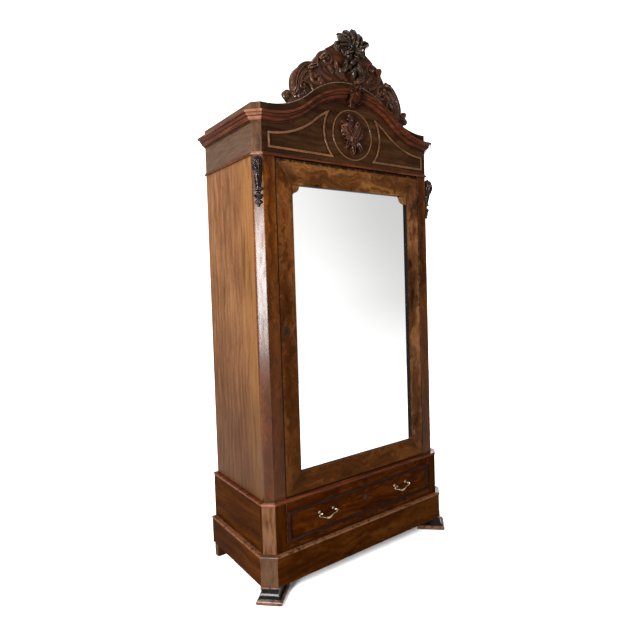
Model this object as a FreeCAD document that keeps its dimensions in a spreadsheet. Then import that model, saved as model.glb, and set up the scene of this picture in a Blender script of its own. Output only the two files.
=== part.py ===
# Mirrored single-door cabinet (bonnetiere) with an arched cornice, a carved crest and one base drawer.
# Millimetres. X to the right, Y to the back, Z up. The front faces -Y and the cabinet stands on z = 0.
import math
import os
import re

import FreeCAD, Part
import Sketcher

os.makedirs("parts", exist_ok=True)
doc = FreeCAD.newDocument("cabinet")
sheet = doc.addObject("Spreadsheet::Sheet", "size")

SIZES = [
    # overall
    ("carcass_width", 1024), ("carcass_depth", 510), ("cant_leg", 30),
    # feet and plinth
    ("foot_height", 68), ("foot_depth", 118), ("toe_projection", 25), ("toe_flare", 18),
    ("back_foot_width", 74), ("back_foot_thickness", 34), ("back_foot_inset", 8),
    ("plinth_height", 130), ("plinth_projection", 38), ("plinth_thickness", 36),
    ("plinth_back_thickness", 24),
    # drawer case
    ("base_height", 217), ("base_projection", 20), ("base_thickness", 22), ("base_post_depth", 62),
    ("nose_height", 12), ("nose_depth", 32), ("base_rail_height", 17), ("base_rail_depth", 30),
    # carcass
    ("carcass_height", 1465), ("front_stile", 87), ("post_depth", 45), ("side_thickness", 20),
    ("back_thickness", 12), ("top_thickness", 18),
    ("shelf_thickness", 18), ("shelf_setback", 64), ("shelf_spacing", 365), ("shelf_fit", 0.5),
    ("cleat_height", 24), ("cleat_thickness", 16), ("stop_width", 12), ("stop_depth", 14),
    # frieze, cornice and parapet
    ("frieze_height", 130), ("frieze_thickness", 24), ("cornice_height", 41), ("cornice_projection", 38),
    ("parapet_height", 83), ("arch_rise", 170), ("arch_flat", 18),
    ("astragal_height", 14), ("astragal_projection", 9), ("astragal_drop", 4),
    ("panel_margin", 27), ("panel_foot", 29), ("panel_gap", 34), ("bead_width", 9), ("bead_height", 5),
    ("roundel_radius", 114), ("roundel_rise", 144), ("roundel_clear", 47),
    ("bouquet_height", 172), ("bouquet_width", 128), ("bouquet_relief", 34),
    ("keystone_width", 92), ("keystone_height", 122), ("keystone_projection", 62),
    # crest and corbels
    ("crest_half_width", 361), ("crest_height", 245), ("crest_thickness", 24), ("crest_setback", 8),
    ("scroll_relief", 11), ("cartouche_height", 190), ("cartouche_width", 200), ("cartouche_relief", 40),
    ("corbel_height", 207), ("corbel_projection", 42), ("corbel_width", 40), ("corbel_drop", 8),
    # door
    ("door_gap", 2.5), ("door_foot_gap", 3), ("door_head_gap", 8), ("door_thickness", 28),
    ("door_stile_width", 82), ("top_rail_width", 107), ("bottom_rail_width", 94),
    ("lip_thickness", 12), ("rebate_width", 12), ("glass_thickness", 5), ("mirror_back_thickness", 8),
    ("glass_fit", 1), ("lug_radius", 34), ("lug_step", 5),
    ("pivot_inset", 20), ("pivot_setback", 8), ("pivot_radius", 4), ("pivot_plate", 2),
    ("pivot_plate_length", 60), ("pivot_plate_width", 14), ("pivot_depth", 10), ("running_fit", 0.05),
    # locks
    ("key_height", 1140), ("key_inset", 31), ("lock_width", 52), ("lock_height", 74), ("lock_recess", 13),
    ("bolt_width", 20), ("bolt_thickness", 8), ("bolt_length", 26), ("bolt_travel", 10), ("slide_fit", 0.4),
    ("key_radius", 2.8), ("key_slot", 3.2), ("key_slot_drop", 9), ("plate_thickness", 2),
    ("plate_width", 26), ("plate_height", 40),
    # drawer
    ("drawer_inset", 75), ("drawer_gap", 1.5), ("drawer_front_thickness", 22), ("drawer_side_thickness", 13),
    ("drawer_side_height", 150), ("drawer_bottom_thickness", 7), ("drawer_bottom_rise", 12),
    ("drawer_clearance", 56), ("drawer_back_thickness", 13), ("runner_height", 17), ("runner_fit", 0.3),
    ("guide_height", 40), ("guide_fit", 1.5),
    ("drawer_bead_side", 5), ("drawer_bead_top", 35), ("drawer_bead_foot", 16), ("drawer_bead_width", 14),
    ("drawer_bead_height", 7), ("drawer_bead_step", 3),
    ("drawer_lock_width", 60), ("drawer_lock_height", 110), ("drawer_lock_recess", 8),
    ("drawer_bolt_width", 22), ("drawer_bolt_thickness", 7), ("drawer_bolt_travel", 8),
    ("drawer_key_drop", 88), ("drawer_plate_radius", 11),
    # drop handles
    ("handle_spacing", 458), ("handle_drop", 87), ("post_spacing", 76), ("post_reach", 20),
    ("rosette_radius", 10), ("rosette_thickness", 3), ("neck_radius", 3.6), ("ball_radius", 6.5),
    ("bail_radius", 2.6), ("bail_side", 9), ("bail_curl", 5.5), ("bail_drop", 34),
    ("knop_half_length", 8), ("knop_lip", 0.9),
    # length by which every cutting or trimmed shape passes the piece it cuts
    ("overrun", 60),
]
for row, (alias, value) in enumerate(SIZES, 1):
    sheet.set(f"A{row}", alias)
    sheet.set(f"B{row}", str(value))
    sheet.setAlias(f"B{row}", alias)
doc.recompute()
WORDS = re.compile(r"\b(" + "|".join(alias for alias, value in SIZES) + r")\b")

# shares of a length, the same at any size
NOSE_BULGE_SHARE = 0.55
QUARTER_BULGE_SHARE = 0.41421356
ROUND_BULGE_SHARE = 0.85
TORUS_SETBACK_SHARE = 0.72
TORUS_HEIGHT_SHARE = 0.33
TORUS_BULGE_SHARE = 0.62
MITRE_SHARE = math.sqrt(2) - 1


def cell(text):
    """Point every size name in an expression at its spreadsheet cell."""
    return WORDS.sub(r"size.\1", str(text))


def number(text):
    """Value of an expression in millimetres."""
    found = sheet.evalExpression(cell(text))
    return float(getattr(found, "Value", found))


# levels and plan lines
PLINTH_FOOT = "foot_height"
BASE_FOOT = "(foot_height + plinth_height)"
BASE_TOP = "(foot_height + plinth_height + base_height)"
NOSE_FOOT = "(foot_height + plinth_height + base_height - nose_height)"
FRIEZE_FOOT = "(foot_height + plinth_height + base_height + carcass_height)"
CORNICE_FOOT = f"({FRIEZE_FOOT} + frieze_height)"
PARAPET_TOP = f"({CORNICE_FOOT} + parapet_height)"
HALF = "(carcass_width / 2)"
CANT_HALF = "(cant_leg / sqrt(2))"
TOE_HALF = f"({CANT_HALF} + plinth_projection * {MITRE_SHARE})"
TORUS_SWELL = f"(foot_height * {TORUS_HEIGHT_SHARE} * {TORUS_BULGE_SHARE} / 2)"
TOE_REACH = f"(plinth_projection + toe_projection * {TORUS_SETBACK_SHARE} + {TORUS_SWELL})"
FLANK_REACH = f"({TOE_HALF} + toe_flare * {TORUS_SETBACK_SHARE} + {TORUS_SWELL})"
REACH = f"(({TOE_REACH} + {FLANK_REACH}) / sqrt(2) - cant_leg / 2)"
FACE = f"(({REACH} - carcass_depth) / 2)"
BACK = f"(({REACH} + carcass_depth) / 2)"

PLANES = {"XY": "XY_Plane", "XZ": "XZ_Plane", "YZ": "YZ_Plane"}


def new_body(label):
    body = doc.addObject("PartDesign::Body", "body_" + label)
    body.Label = label
    return body


def plane_of(body, plane):
    for feature in body.Origin.OriginFeatures:
        if feature.Role == PLANES[plane]:
            return feature


def arc_between(start, end, radius, turn):
    """Minor arc from start to end, turning left when turn is positive."""
    middle = (start + end) / 2
    chord = end - start
    reach = math.sqrt(max(radius ** 2 - chord.Length ** 2 / 4, 0))
    left = FreeCAD.Vector(-chord.y, chord.x, 0).normalize()
    centre = middle + left * (reach if turn > 0 else -reach)
    first, last = (start, end) if turn > 0 else (end, start)
    circle = Part.Circle(centre, FreeCAD.Vector(0, 0, 1), radius)
    return Part.ArcOfCircle(circle, circle.parameter(first), circle.parameter(last))


def add_loop(sketch, vertices, closed=True):
    """Lines and arcs through the vertices; each vertex is held by two bound distances.

    A vertex is (u, v), (u, v, bulge share) or (u, v, radius, turn); the last two make an arc to the next.
    """
    points = [FreeCAD.Vector(number(v[0]), number(v[1]), 0) for v in vertices]
    count = len(vertices) if closed else len(vertices) - 1
    ends = []
    for i in range(count):
        here, there = vertices[i], vertices[(i + 1) % len(vertices)]
        a, b = points[i], points[(i + 1) % len(vertices)]
        if len(here) == 2:
            ends.append((sketch.addGeometry(Part.LineSegment(a, b)), 1, 2))
            continue
        if len(here) == 3:
            bulge = abs(here[2])
            turn = 1 if here[2] > 0 else -1
            chord = f"sqrt((({there[0]}) - ({here[0]}))^2 + (({there[1]}) - ({here[1]}))^2)"
            radius = f"({chord}) * {(1 + bulge * bulge) / (4 * bulge):.9f}"
        else:
            radius, turn = here[2], here[3]
        index = sketch.addGeometry(arc_between(a, b, number(radius), turn))
        ends.append((index, 1, 2) if turn > 0 else (index, 2, 1))
        held = sketch.addConstraint(Sketcher.Constraint("Radius", index, number(radius)))
        sketch.setExpression(f"Constraints[{held}]", cell(radius))
    for i in range(count if closed else count - 1):
        here, there = ends[i], ends[(i + 1) % count]
        sketch.addConstraint(Sketcher.Constraint("Coincident", here[0], here[2], there[0], there[1]))
    for i, vertex in enumerate(vertices):
        index, at = (ends[i][0], ends[i][1]) if i < count else (ends[-1][0], ends[-1][2])
        for kind, text in (("DistanceX", vertex[0]), ("DistanceY", vertex[1])):
            held = sketch.addConstraint(Sketcher.Constraint(kind, -1, 1, index, at, number(text)))
            sketch.setExpression(f"Constraints[{held}]", cell(text))


def add_ring(sketch, u, v, radius):
    centre = FreeCAD.Vector(number(u), number(v), 0)
    index = sketch.addGeometry(Part.Circle(centre, FreeCAD.Vector(0, 0, 1), number(radius)))
    held = sketch.addConstraint(Sketcher.Constraint("Radius", index, number(radius)))
    sketch.setExpression(f"Constraints[{held}]", cell(radius))
    for kind, text in (("DistanceX", u), ("DistanceY", v)):
        held = sketch.addConstraint(Sketcher.Constraint(kind, -1, 1, index, 3, number(text)))
        sketch.setExpression(f"Constraints[{held}]", cell(text))


def new_sketch(body, plane, offset, loops, closed=True):
    """Sketch on an origin plane of the body, moved along the plane's normal by the offset."""
    sketch = body.newObject("Sketcher::SketchObject", "outline")
    sketch.AttachmentSupport = (plane_of(body, plane), [""])
    sketch.MapMode = "FlatFace"
    sketch.setExpression("AttachmentOffset.Base.z", cell(offset))
    for loop in loops:
        if loop[0] == "ring":
            add_ring(sketch, *loop[1:])
        else:
            add_loop(sketch, loop, closed)
    doc.recompute()
    return sketch


def pad(body, plane, low, high, *loops):
    """Add the loops' area between two stations on the plane's axis."""
    start = f"-({high})" if plane == "XZ" else low
    feature = body.newObject("PartDesign::Pad", "pad")
    feature.Profile = new_sketch(body, plane, start, loops)
    feature.setExpression("Length", cell(f"({high}) - ({low})"))
    return body


def pocket(body, plane, low, high, *loops):
    """Take the loops' area away between two stations on the plane's axis."""
    start = f"-({low})" if plane == "XZ" else high
    feature = body.newObject("PartDesign::Pocket", "pocket")
    feature.Profile = new_sketch(body, plane, start, loops)
    feature.setExpression("Length", cell(f"({high}) - ({low})"))
    return body


def prism(label, plane, low, high, *loops):
    return pad(new_body(label), plane, low, high, *loops)


def box_loop(u0, u1, v0, v1):
    return [(u0, v0), (u1, v0), (u1, v1), (u0, v1)]


def board(label, x0, x1, y0, y1, z0, z1):
    """Plain board between three pairs of planes."""
    item = doc.addObject("Part::Box", "board_" + label)
    item.Label = label
    for name, low, high in (("Length", x0, x1), ("Width", y0, y1), ("Height", z0, z1)):
        item.setExpression(name, cell(f"({high}) - ({low})"))
    for axis, low in (("x", x0), ("y", y0), ("z", z0)):
        item.setExpression(f"Placement.Base.{axis}", cell(low))
    return item


def place(item, x, y, z, angle=0.0):
    """Stand an item at a bound point, turned about the vertical."""
    item.Placement = FreeCAD.Placement(FreeCAD.Vector(), FreeCAD.Rotation(FreeCAD.Vector(0, 0, 1), angle))
    for axis, text in (("x", x), ("y", y), ("z", z)):
        item.setExpression(f"Placement.Base.{axis}", cell(text))
    return item


def group(label, items):
    item = doc.addObject("Part::Compound", "group_" + label)
    item.Label = label
    item.Links = items
    return item


def common(label, base, tool):
    item = doc.addObject("Part::Common", "common_" + label)
    item.Label = label
    item.Base = base
    item.Tool = tool
    return item


def mirrored(shares):
    """Right half of an outline, from foot to top, and its mirror image as one loop of shares."""
    turns = [tuple(s[2:]) for s in shares]
    right = list(shares)
    left = [(-s[0], s[1]) + before for s, before in zip(shares, [()] + turns[:-1])][::-1]
    if right[-1][0] == 0:
        right[-1] = left[0]
        left = left[1:]
    if right[0][0] == 0:
        left = left[:-1]
    return right + left


nodes = []


def keep(item):
    nodes.append(item)
    return item


# runs of a moulded ring round the front and both sides: plan start, direction and mitred ends
RUNS = {
    "left": (f"-{HALF}", BACK, "carcass_depth - cant_leg", False, True),
    "corner_left": (f"-{HALF}", f"{FACE} + cant_leg", "cant_leg * sqrt(2)", True, True),
    "front": (f"-({HALF} - cant_leg)", FACE, "carcass_width - 2 * cant_leg", True, True),
    "corner_right": (f"{HALF} - cant_leg", FACE, "cant_leg * sqrt(2)", True, True),
    "right": (HALF, f"{FACE} + cant_leg", "carcass_depth - cant_leg", True, False),
}
# direction of each run, as a share of a full turn
RUN_TURN_SHARES = {"left": -0.25, "corner_left": -0.125, "front": 0.0, "corner_right": 0.125, "right": 0.25}


def mitre_loops(length, start, end):
    """Waste beyond the mitre lines of a run, seen in plan."""
    waste = []
    if start:
        waste.append([(f"-overrun * {MITRE_SHARE}", "-overrun"), (f"overrun * {MITRE_SHARE}", "overrun"),
                      ("-2 * overrun", "overrun"), ("-2 * overrun", "-overrun")])
    if end:
        far = f"{length} + 2 * overrun"
        waste.append([(f"{length} + overrun * {MITRE_SHARE}", "-overrun"), (far, "-overrun"),
                      (far, "overrun"), (f"{length} - overrun * {MITRE_SHARE}", "overrun")])
    return waste


def ring_run(label, run, profile, low, high):
    """One straight length of moulding; the profile is (outward, height) and its ends are mitred in plan."""
    x, y, length, start, end = RUNS[run]
    body = new_body(label)
    loop = [(f"-({v[0]})",) + tuple(v[1:]) for v in profile]
    first = "-1.5 * overrun" if start else "0"
    last = f"{length} + 1.5 * overrun" if end else length
    pad(body, "YZ", first, last, loop)
    for waste in mitre_loops(length, start, end):
        pocket(body, "XY", f"{low} - overrun", f"{high} + overrun", waste)
    return place(body, x, y, "0", math.degrees(math.tau * RUN_TURN_SHARES[run]))


# plinth: boards with a rounded nosing, mitred round the canted corners
plinth_profile = [
    ("plinth_projection - plinth_thickness", PLINTH_FOOT), ("plinth_projection", PLINTH_FOOT),
    ("plinth_projection", f"{BASE_FOOT} - nose_height", -NOSE_BULGE_SHARE), ("plinth_projection", BASE_FOOT),
    ("plinth_projection - plinth_thickness", BASE_FOOT),
]
plinth = {run: ring_run("plinth_" + run, run, plinth_profile, PLINTH_FOOT, BASE_FOOT) for run in RUNS}
keep(plinth["front"])
keep(group("plinth_sides", [plinth["left"], plinth["right"]]))
keep(group("plinth_corners", [plinth["corner_left"], plinth["corner_right"]]))
plinth_inner = f"({HALF} + plinth_projection - plinth_thickness)"
keep(board("plinth_back", f"-{plinth_inner}", plinth_inner, f"{BACK} - plinth_back_thickness", BACK,
           PLINTH_FOOT, BASE_FOOT))

# front feet: one moulded profile on the toe and both flanks, set square to the canted corner
FOOT_SHARES = [
    (TORUS_SETBACK_SHARE, 0.0, TORUS_BULGE_SHARE), (TORUS_SETBACK_SHARE, TORUS_HEIGHT_SHARE),
    (TORUS_SETBACK_SHARE, 0.38, -0.30), (0.08, 0.87), (0.20, 0.87), (0.20, 1.0),
]
for side, turn in (("left", -1), ("right", 1)):
    toe = [(f"-(plinth_projection + toe_projection * {s[0]})", f"foot_height * {s[1]}")
           + tuple(-b for b in s[2:]) for s in FOOT_SHARES]
    toe += [("foot_depth - plinth_projection", "foot_height"), ("foot_depth - plinth_projection", "0")]
    flank = [(f"{'-' if s[0] < 0 else ''}({TOE_HALF} + toe_flare * {abs(s[0])})", f"foot_height * {s[1]}")
             + s[2:] for s in mirrored(FOOT_SHARES)]
    across = prism("foot_toe_" + side, "YZ", f"-{TOE_HALF} - overrun", f"{TOE_HALF} + overrun", toe)
    along = prism("foot_flank_" + side, "XZ", "-plinth_projection - overrun", "foot_depth + overrun", flank)
    foot = keep(common("front_foot_" + side, across, along))
    place(foot, f"{turn} * ({HALF} - cant_leg / 2)", f"{FACE} + cant_leg / 2", "0", 45.0 * turn)

back_foot_edge = f"({HALF} + plinth_projection - back_foot_inset)"
back_feet = [
    board("back_foot_left", f"-{back_foot_edge}", f"-{back_foot_edge} + back_foot_width",
          f"{BACK} - back_foot_thickness", BACK, "0", "foot_height"),
    board("back_foot_right", f"{back_foot_edge} - back_foot_width", back_foot_edge,
          f"{BACK} - back_foot_thickness", BACK, "0", "foot_height"),
]
keep(group("back_feet", back_feet))

# drawer case: canted posts, side boards, bottom rail, back and runners under a rounded nosing frame
BASE_FACE = f"({FACE} - base_projection)"
base_inner = f"({HALF} + base_projection - base_thickness)"
post_back = f"({BASE_FACE} + base_post_depth)"
CANT_SHIFT = f"(cant_leg - base_projection * {MITRE_SHARE})"
base_sides = []
base_posts = []
for side, sign in (("left", -1), ("right", 1)):
    corner = [
        (f"{sign} * ({HALF} + base_projection)", f"{FACE} + {CANT_SHIFT}"),
        (f"{sign} * ({HALF} - {CANT_SHIFT})", BASE_FACE),
        (f"{sign} * ({HALF} - drawer_inset)", BASE_FACE),
        (f"{sign} * ({HALF} - drawer_inset)", post_back),
        (f"{sign} * ({HALF} + base_projection)", post_back),
    ]
    base_posts.append(prism("base_corner_" + side, "XY", BASE_FOOT, NOSE_FOOT, corner))
    low, high = sorted((f"{sign} * ({HALF} + base_projection)", f"{sign} * {base_inner}"), key=number)
    base_sides.append(board("base_side_" + side, low, high, post_back, BACK, BASE_FOOT, NOSE_FOOT))
keep(group("base_corners", base_posts))
keep(group("base_sides", base_sides))
keep(board("base_bottom_rail", f"-({HALF} - drawer_inset)", f"{HALF} - drawer_inset", BASE_FACE,
           f"{BASE_FACE} + base_rail_depth", BASE_FOOT, f"{BASE_FOOT} + base_rail_height"))

nose_profile = [
    ("base_projection - nose_depth", NOSE_FOOT), ("base_projection", NOSE_FOOT, -NOSE_BULGE_SHARE),
    ("base_projection", BASE_TOP), ("base_projection - nose_depth", BASE_TOP),
]
nosing = {run: ring_run("nosing_" + run, run, nose_profile, NOSE_FOOT, BASE_TOP) for run in RUNS}

RUNNER_TOP = f"({BASE_FOOT} + base_rail_height)"
runners = []
for side, sign in (("left", -1), ("right", 1)):
    guide = f"({HALF} - drawer_inset + guide_fit - drawer_gap)"
    tread = f"({HALF} - drawer_inset - drawer_side_thickness - drawer_gap)"
    for part, inner, low, high in (("tread", tread, f"{RUNNER_TOP} - runner_height", RUNNER_TOP),
                                   ("guide", guide, RUNNER_TOP, f"{RUNNER_TOP} + guide_height")):
        ends = sorted((f"{sign} * {base_inner}", f"{sign} * {inner}"), key=number)
        runners.append(board(f"drawer_{part}_{side}", *ends, post_back, f"{BACK} - back_thickness",
                             low, high))
keep(group("drawer_runners", runners))

# cabinet floor, sides, canted posts, top, back boards and shelves
BACK_INNER = f"({BACK} - back_thickness)"


def canted_plan(setback):
    """Plan of a board that fits between canted corners, set in from the carcass faces by a length."""
    half = [
        (f"({HALF} - {setback})", BACK_INNER),
        (f"({HALF} - {setback})", f"{FACE} + cant_leg + {setback} * {MITRE_SHARE}"),
        (f"({HALF} - cant_leg - {setback} * {MITRE_SHARE})", f"{FACE} + {setback}"),
    ]
    return half + [(f"-{x}", y) for x, y in half[::-1]]


keep(prism("cabinet_floor", "XY", NOSE_FOOT, BASE_TOP, canted_plan("(nose_depth - base_projection)")))
keep(prism("cabinet_top", "XY", FRIEZE_FOOT, f"{FRIEZE_FOOT} + top_thickness",
           canted_plan("frieze_thickness")))
POST_BACK = f"({FACE} + post_depth)"
INNER = f"({HALF} - side_thickness)"
POST_EDGE = f"({HALF} - front_stile)"
KEY = "key_height"
BOLT_Y = f"({FACE} + (lock_recess + door_thickness) / 2)"
posts = {}
for side, sign in (("left", -1), ("right", 1)):
    corner = [
        (f"{sign} * {HALF}", f"{FACE} + cant_leg"), (f"{sign} * ({HALF} - cant_leg)", FACE),
        (f"{sign} * {POST_EDGE}", FACE), (f"{sign} * {POST_EDGE}", POST_BACK),
        (f"{sign} * {HALF}", POST_BACK),
    ]
    posts[side] = keep(prism("corner_post_" + side, "XY", BASE_TOP, FRIEZE_FOOT, corner))
    low, high = sorted((f"{sign} * {HALF}", f"{sign} * {INNER}"), key=number)
    keep(board("side_panel_" + side, low, high, POST_BACK, BACK, BASE_TOP, FRIEZE_FOOT))
# mortise for the door bolt
pocket(posts["left"], "YZ", f"-{POST_EDGE} - bolt_travel", f"-{POST_EDGE}",
       box_loop(f"{BOLT_Y} - bolt_thickness / 2 - 2 * slide_fit",
                f"{BOLT_Y} + bolt_thickness / 2 + 2 * slide_fit",
                f"{KEY} - bolt_width / 2 - 2 * slide_fit", f"{KEY} + bolt_width / 2 + 2 * slide_fit"))
stop_front = f"({FACE} + door_thickness + slide_fit)"
keep(board("door_stop", f"-{POST_EDGE}", f"-{POST_EDGE} + stop_width", stop_front,
           f"{stop_front} + stop_depth", BASE_TOP, FRIEZE_FOOT))
BACK_BOARD_COUNT = 5
backs = []
for i in range(BACK_BOARD_COUNT):
    edge = f"-{INNER} + 2 * {INNER} * {i} / {BACK_BOARD_COUNT}"
    next_edge = f"-{INNER} + 2 * {INNER} * {i + 1} / {BACK_BOARD_COUNT}"
    backs.append(board(f"back_board_{i + 1}", edge, next_edge, BACK_INNER, BACK, NOSE_FOOT, FRIEZE_FOOT))
backs.append(board("base_back", f"-{base_inner}", base_inner, f"{BACK} - back_thickness", BACK, BASE_FOOT,
                   NOSE_FOOT))
frieze_inner = f"({HALF} - frieze_thickness)"
backs.append(board("frieze_back", f"-{frieze_inner}", frieze_inner, BACK_INNER, BACK, FRIEZE_FOOT,
                   CORNICE_FOOT))
keep(group("back_boards", backs))
SHELF_COUNT = 3
shelves = []
cleats = []
for i in range(SHELF_COUNT):
    level = f"({BASE_TOP} + shelf_spacing * {i + 1})"
    shelves.append(board(f"shelf_{i + 1}", f"-{INNER} + shelf_fit", f"{INNER} - shelf_fit",
                         f"{FACE} + shelf_setback", f"{BACK_INNER} - shelf_fit", level,
                         f"{level} + shelf_thickness"))
    for side, sign in (("left", -1), ("right", 1)):
        low, high = sorted((f"{sign} * {INNER}", f"{sign} * ({INNER} - cleat_thickness)"), key=number)
        cleats.append(board(f"shelf_cleat_{i + 1}_{side}", low, high, f"{FACE} + shelf_setback", BACK_INNER,
                            f"{level} - cleat_height", level))
keep(group("shelves", shelves))
keep(group("shelf_cleats", cleats))

# ogee arch: on each half a hollow arc and a round arc of one radius meet on the chord
SPAN = f"({HALF} - cant_leg - arch_flat)"
ARCH_R = f"(({SPAN}^2 + arch_rise^2) / (4 * arch_rise))"


def ogee(foot, sign_order):
    """Vertices of the arch from one flat end to the other, leaving from the first side."""
    a, b = sign_order
    turn = 1 if a < 0 else -1
    return [
        (f"{a} * ({HALF} - cant_leg)", foot),
        (f"{a} * {SPAN}", foot, ARCH_R, turn),
        (f"{a} * {SPAN} / 2", f"{foot} + arch_rise / 2", ARCH_R, -turn),
        (f"{b} * {SPAN} / 2", f"{foot} + arch_rise / 2", ARCH_R, turn),
        (f"{b} * {SPAN}", foot),
        (f"{b} * ({HALF} - cant_leg)", foot),
    ]


# frieze: an arched front board with mitred ends, canted corners and straight sides
frieze_front = prism("frieze_front", "XZ", FACE, f"{FACE} + frieze_thickness",
                     [(f"-({HALF} - cant_leg)", FRIEZE_FOOT), (f"{HALF} - cant_leg", FRIEZE_FOOT)]
                     + ogee(PARAPET_TOP, (1, -1)))
for sign in (-1, 1):
    edge = f"{sign} * ({HALF} - cant_leg)"
    waste = [(edge, FACE), (f"{edge} - {sign} * 2 * overrun * {MITRE_SHARE}", f"{FACE} + 2 * overrun"),
             (f"{edge} + {sign} * overrun", f"{FACE} + 2 * overrun"), (f"{edge} + {sign} * overrun", FACE)]
    pocket(frieze_front, "XY", f"{FRIEZE_FOOT} - overrun", f"{PARAPET_TOP} + arch_rise + overrun", waste)
keep(frieze_front)
frieze_profile = [("-frieze_thickness", FRIEZE_FOOT), ("0", FRIEZE_FOOT), ("0", PARAPET_TOP),
                  ("-frieze_thickness", PARAPET_TOP)]
frieze = {run: ring_run("frieze_" + run, run, frieze_profile, FRIEZE_FOOT, PARAPET_TOP)
          for run in RUNS if run != "front"}
keep(group("frieze_sides", [frieze["left"], frieze["right"]]))
keep(group("frieze_corners", [frieze["corner_left"], frieze["corner_right"]]))

ASTRAGAL_SHARES = [(0.0, 0.0), (0.55, 0.0, -0.85), (0.55, 0.70), (0.40, 0.70), (0.40, 1.0), (0.0, 1.0)]
astragal_foot = f"({FRIEZE_FOOT} - astragal_drop)"
astragal_profile = [(f"astragal_projection * {s[0]}", f"{astragal_foot} + astragal_height * {s[1]}")
                    + tuple(s[2:]) for s in ASTRAGAL_SHARES]
keep(group("frieze_astragal", [ring_run("astragal_" + run, run, astragal_profile, astragal_foot, PARAPET_TOP)
                               for run in RUNS]))

# cornice: one stepped profile swept along the arch and mitred into straight returns
CORNICE_SHARES = [(0.0, 0.0), (0.14, 0.0), (0.14, 0.14), (0.20, 0.14, -0.36), (0.50, 0.44), (0.57, 0.44),
                  (0.57, 0.52), (0.63, 0.52, 0.36), (0.88, 0.76), (1.0, 0.76), (1.0, 1.0), (0.0, 1.0)]

cornice_profile = [(f"cornice_projection * {s[0]}", f"{CORNICE_FOOT} + cornice_height * {s[1]}")
                   + tuple(s[2:]) for s in CORNICE_SHARES]
cornice = {run: ring_run("cornice_" + run, run, cornice_profile, CORNICE_FOOT, PARAPET_TOP)
           for run in RUNS if run != "front"}
keep(group("cornice_sides", [cornice["left"], cornice["right"]]))
keep(group("cornice_corners", [cornice["corner_left"], cornice["corner_right"]]))
KEY_SLOT_SHARE = 0.40
KEY_DROP_SHARE = 0.27
KEY_SLOT = f"keystone_width * {KEY_SLOT_SHARE}"
key_foot = f"({CORNICE_FOOT} + arch_rise - keystone_height * {KEY_DROP_SHARE})"
for side, sign in (("left", -1), ("right", 1)):
    body = new_body("cornice_front_" + side)
    far = f"({HALF} - cant_leg + overrun)"
    path = new_sketch(body, "XZ", f"-{FACE}", [[
        (f"{sign} * {far}", CORNICE_FOOT), (f"{sign} * {SPAN}", CORNICE_FOOT, ARCH_R, -sign),
        (f"{sign} * {SPAN} / 2", f"{CORNICE_FOOT} + arch_rise / 2", ARCH_R, sign),
        ("0", f"{CORNICE_FOOT} + arch_rise"),
    ]], closed=False)
    loop = [(f"{FACE} - {v[0]}",) + v[1:] for v in cornice_profile]
    section = new_sketch(body, "YZ", f"{sign} * {far}", [loop])
    sweep = body.newObject("PartDesign::AdditivePipe", "sweep")
    sweep.Profile = section
    sweep.Spine = (path, ["Edge1", "Edge2", "Edge3"])
    doc.recompute()
    edge = f"{sign} * ({HALF} - cant_leg)"
    waste = [(f"{edge} + {sign} * 2 * overrun * {MITRE_SHARE}", f"{FACE} - 2 * overrun"),
             (f"{edge} - {sign} * 2 * overrun * {MITRE_SHARE}", f"{FACE} + 2 * overrun"),
             (f"{edge} + {sign} * 4 * overrun", f"{FACE} + 2 * overrun"),
             (f"{edge} + {sign} * 4 * overrun", f"{FACE} - 2 * overrun")]
    pocket(body, "XY", f"{CORNICE_FOOT} - overrun", f"{PARAPET_TOP} + arch_rise", waste)
    stand = [(f"-{sign} * overrun", f"{FACE} - 2 * overrun"),
             (f"{sign} * {KEY_SLOT}", f"{FACE} - 2 * overrun"),
             (f"{sign} * {KEY_SLOT}", f"{FACE} + overrun"), (f"-{sign} * overrun", f"{FACE} + overrun")]
    pocket(body, "XY", f"{CORNICE_FOOT} + arch_rise / 2", f"{PARAPET_TOP} + arch_rise + overrun", stand)
    keep(body)

# carved block that stands over the crown of the cornice: side outline trimmed by front outline
KEY_SIDE_SHARES = [(0.0, 0.0), (0.34, 0.0, 0.35), (0.72, 0.34, -0.20), (0.66, 0.52, 0.45), (1.0, 0.80),
                   (0.92, 0.95, 0.20), (0.0, 1.0)]
KEY_FRONT_SHARES = [(0.0, 0.0, 0.35), (0.27, 0.10, 0.20), (0.40, 0.24), (0.40, 0.65), (0.5, 0.76),
                    (0.42, 0.94, 0.25), (0.0, 1.0)]
key_side = [(f"{FACE} - keystone_projection * {s[0]}", f"{key_foot} + keystone_height * {s[1]}") + tuple(
    -b for b in s[2:]) for s in KEY_SIDE_SHARES]
key_front = [(f"keystone_width * {s[0]}", f"{key_foot} + keystone_height * {s[1]}") + tuple(s[2:])
             for s in mirrored(KEY_FRONT_SHARES)]
keep(common("keystone", prism("keystone_side", "YZ", "-keystone_width / 2", "keystone_width / 2", key_side),
            prism("keystone_front", "XZ", f"{FACE} - keystone_projection - overrun", FACE, key_front)))

# raised bead round each shaped panel of the frieze, and the ring and carved fruit between them
PANEL_FOOT = f"({FRIEZE_FOOT} + panel_foot)"
PANEL_EDGE = f"({HALF} - cant_leg - panel_margin)"
ROUNDEL = f"({FRIEZE_FOOT} + roundel_rise)"
INNER_R = "(roundel_radius + roundel_clear)"
HOLLOW_R = f"({ARCH_R} + panel_gap)"
ROUND_R = f"({ARCH_R} - panel_gap)"
hollow_z = f"({CORNICE_FOOT} + {ARCH_R})"
round_z = f"({CORNICE_FOOT} + arch_rise - {ARCH_R})"
slope = f"(2 * atan(arch_rise / {SPAN}))"
turn_x = f"({SPAN} / 2 - panel_gap * sin({slope}))"
turn_z = f"({CORNICE_FOOT} + arch_rise / 2 - panel_gap * cos({slope}))"
edge_z = f"({hollow_z} - sqrt({HOLLOW_R}^2 - ({SPAN} - {PANEL_EDGE})^2))"
rise = f"({round_z} - {ROUNDEL})"
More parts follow.
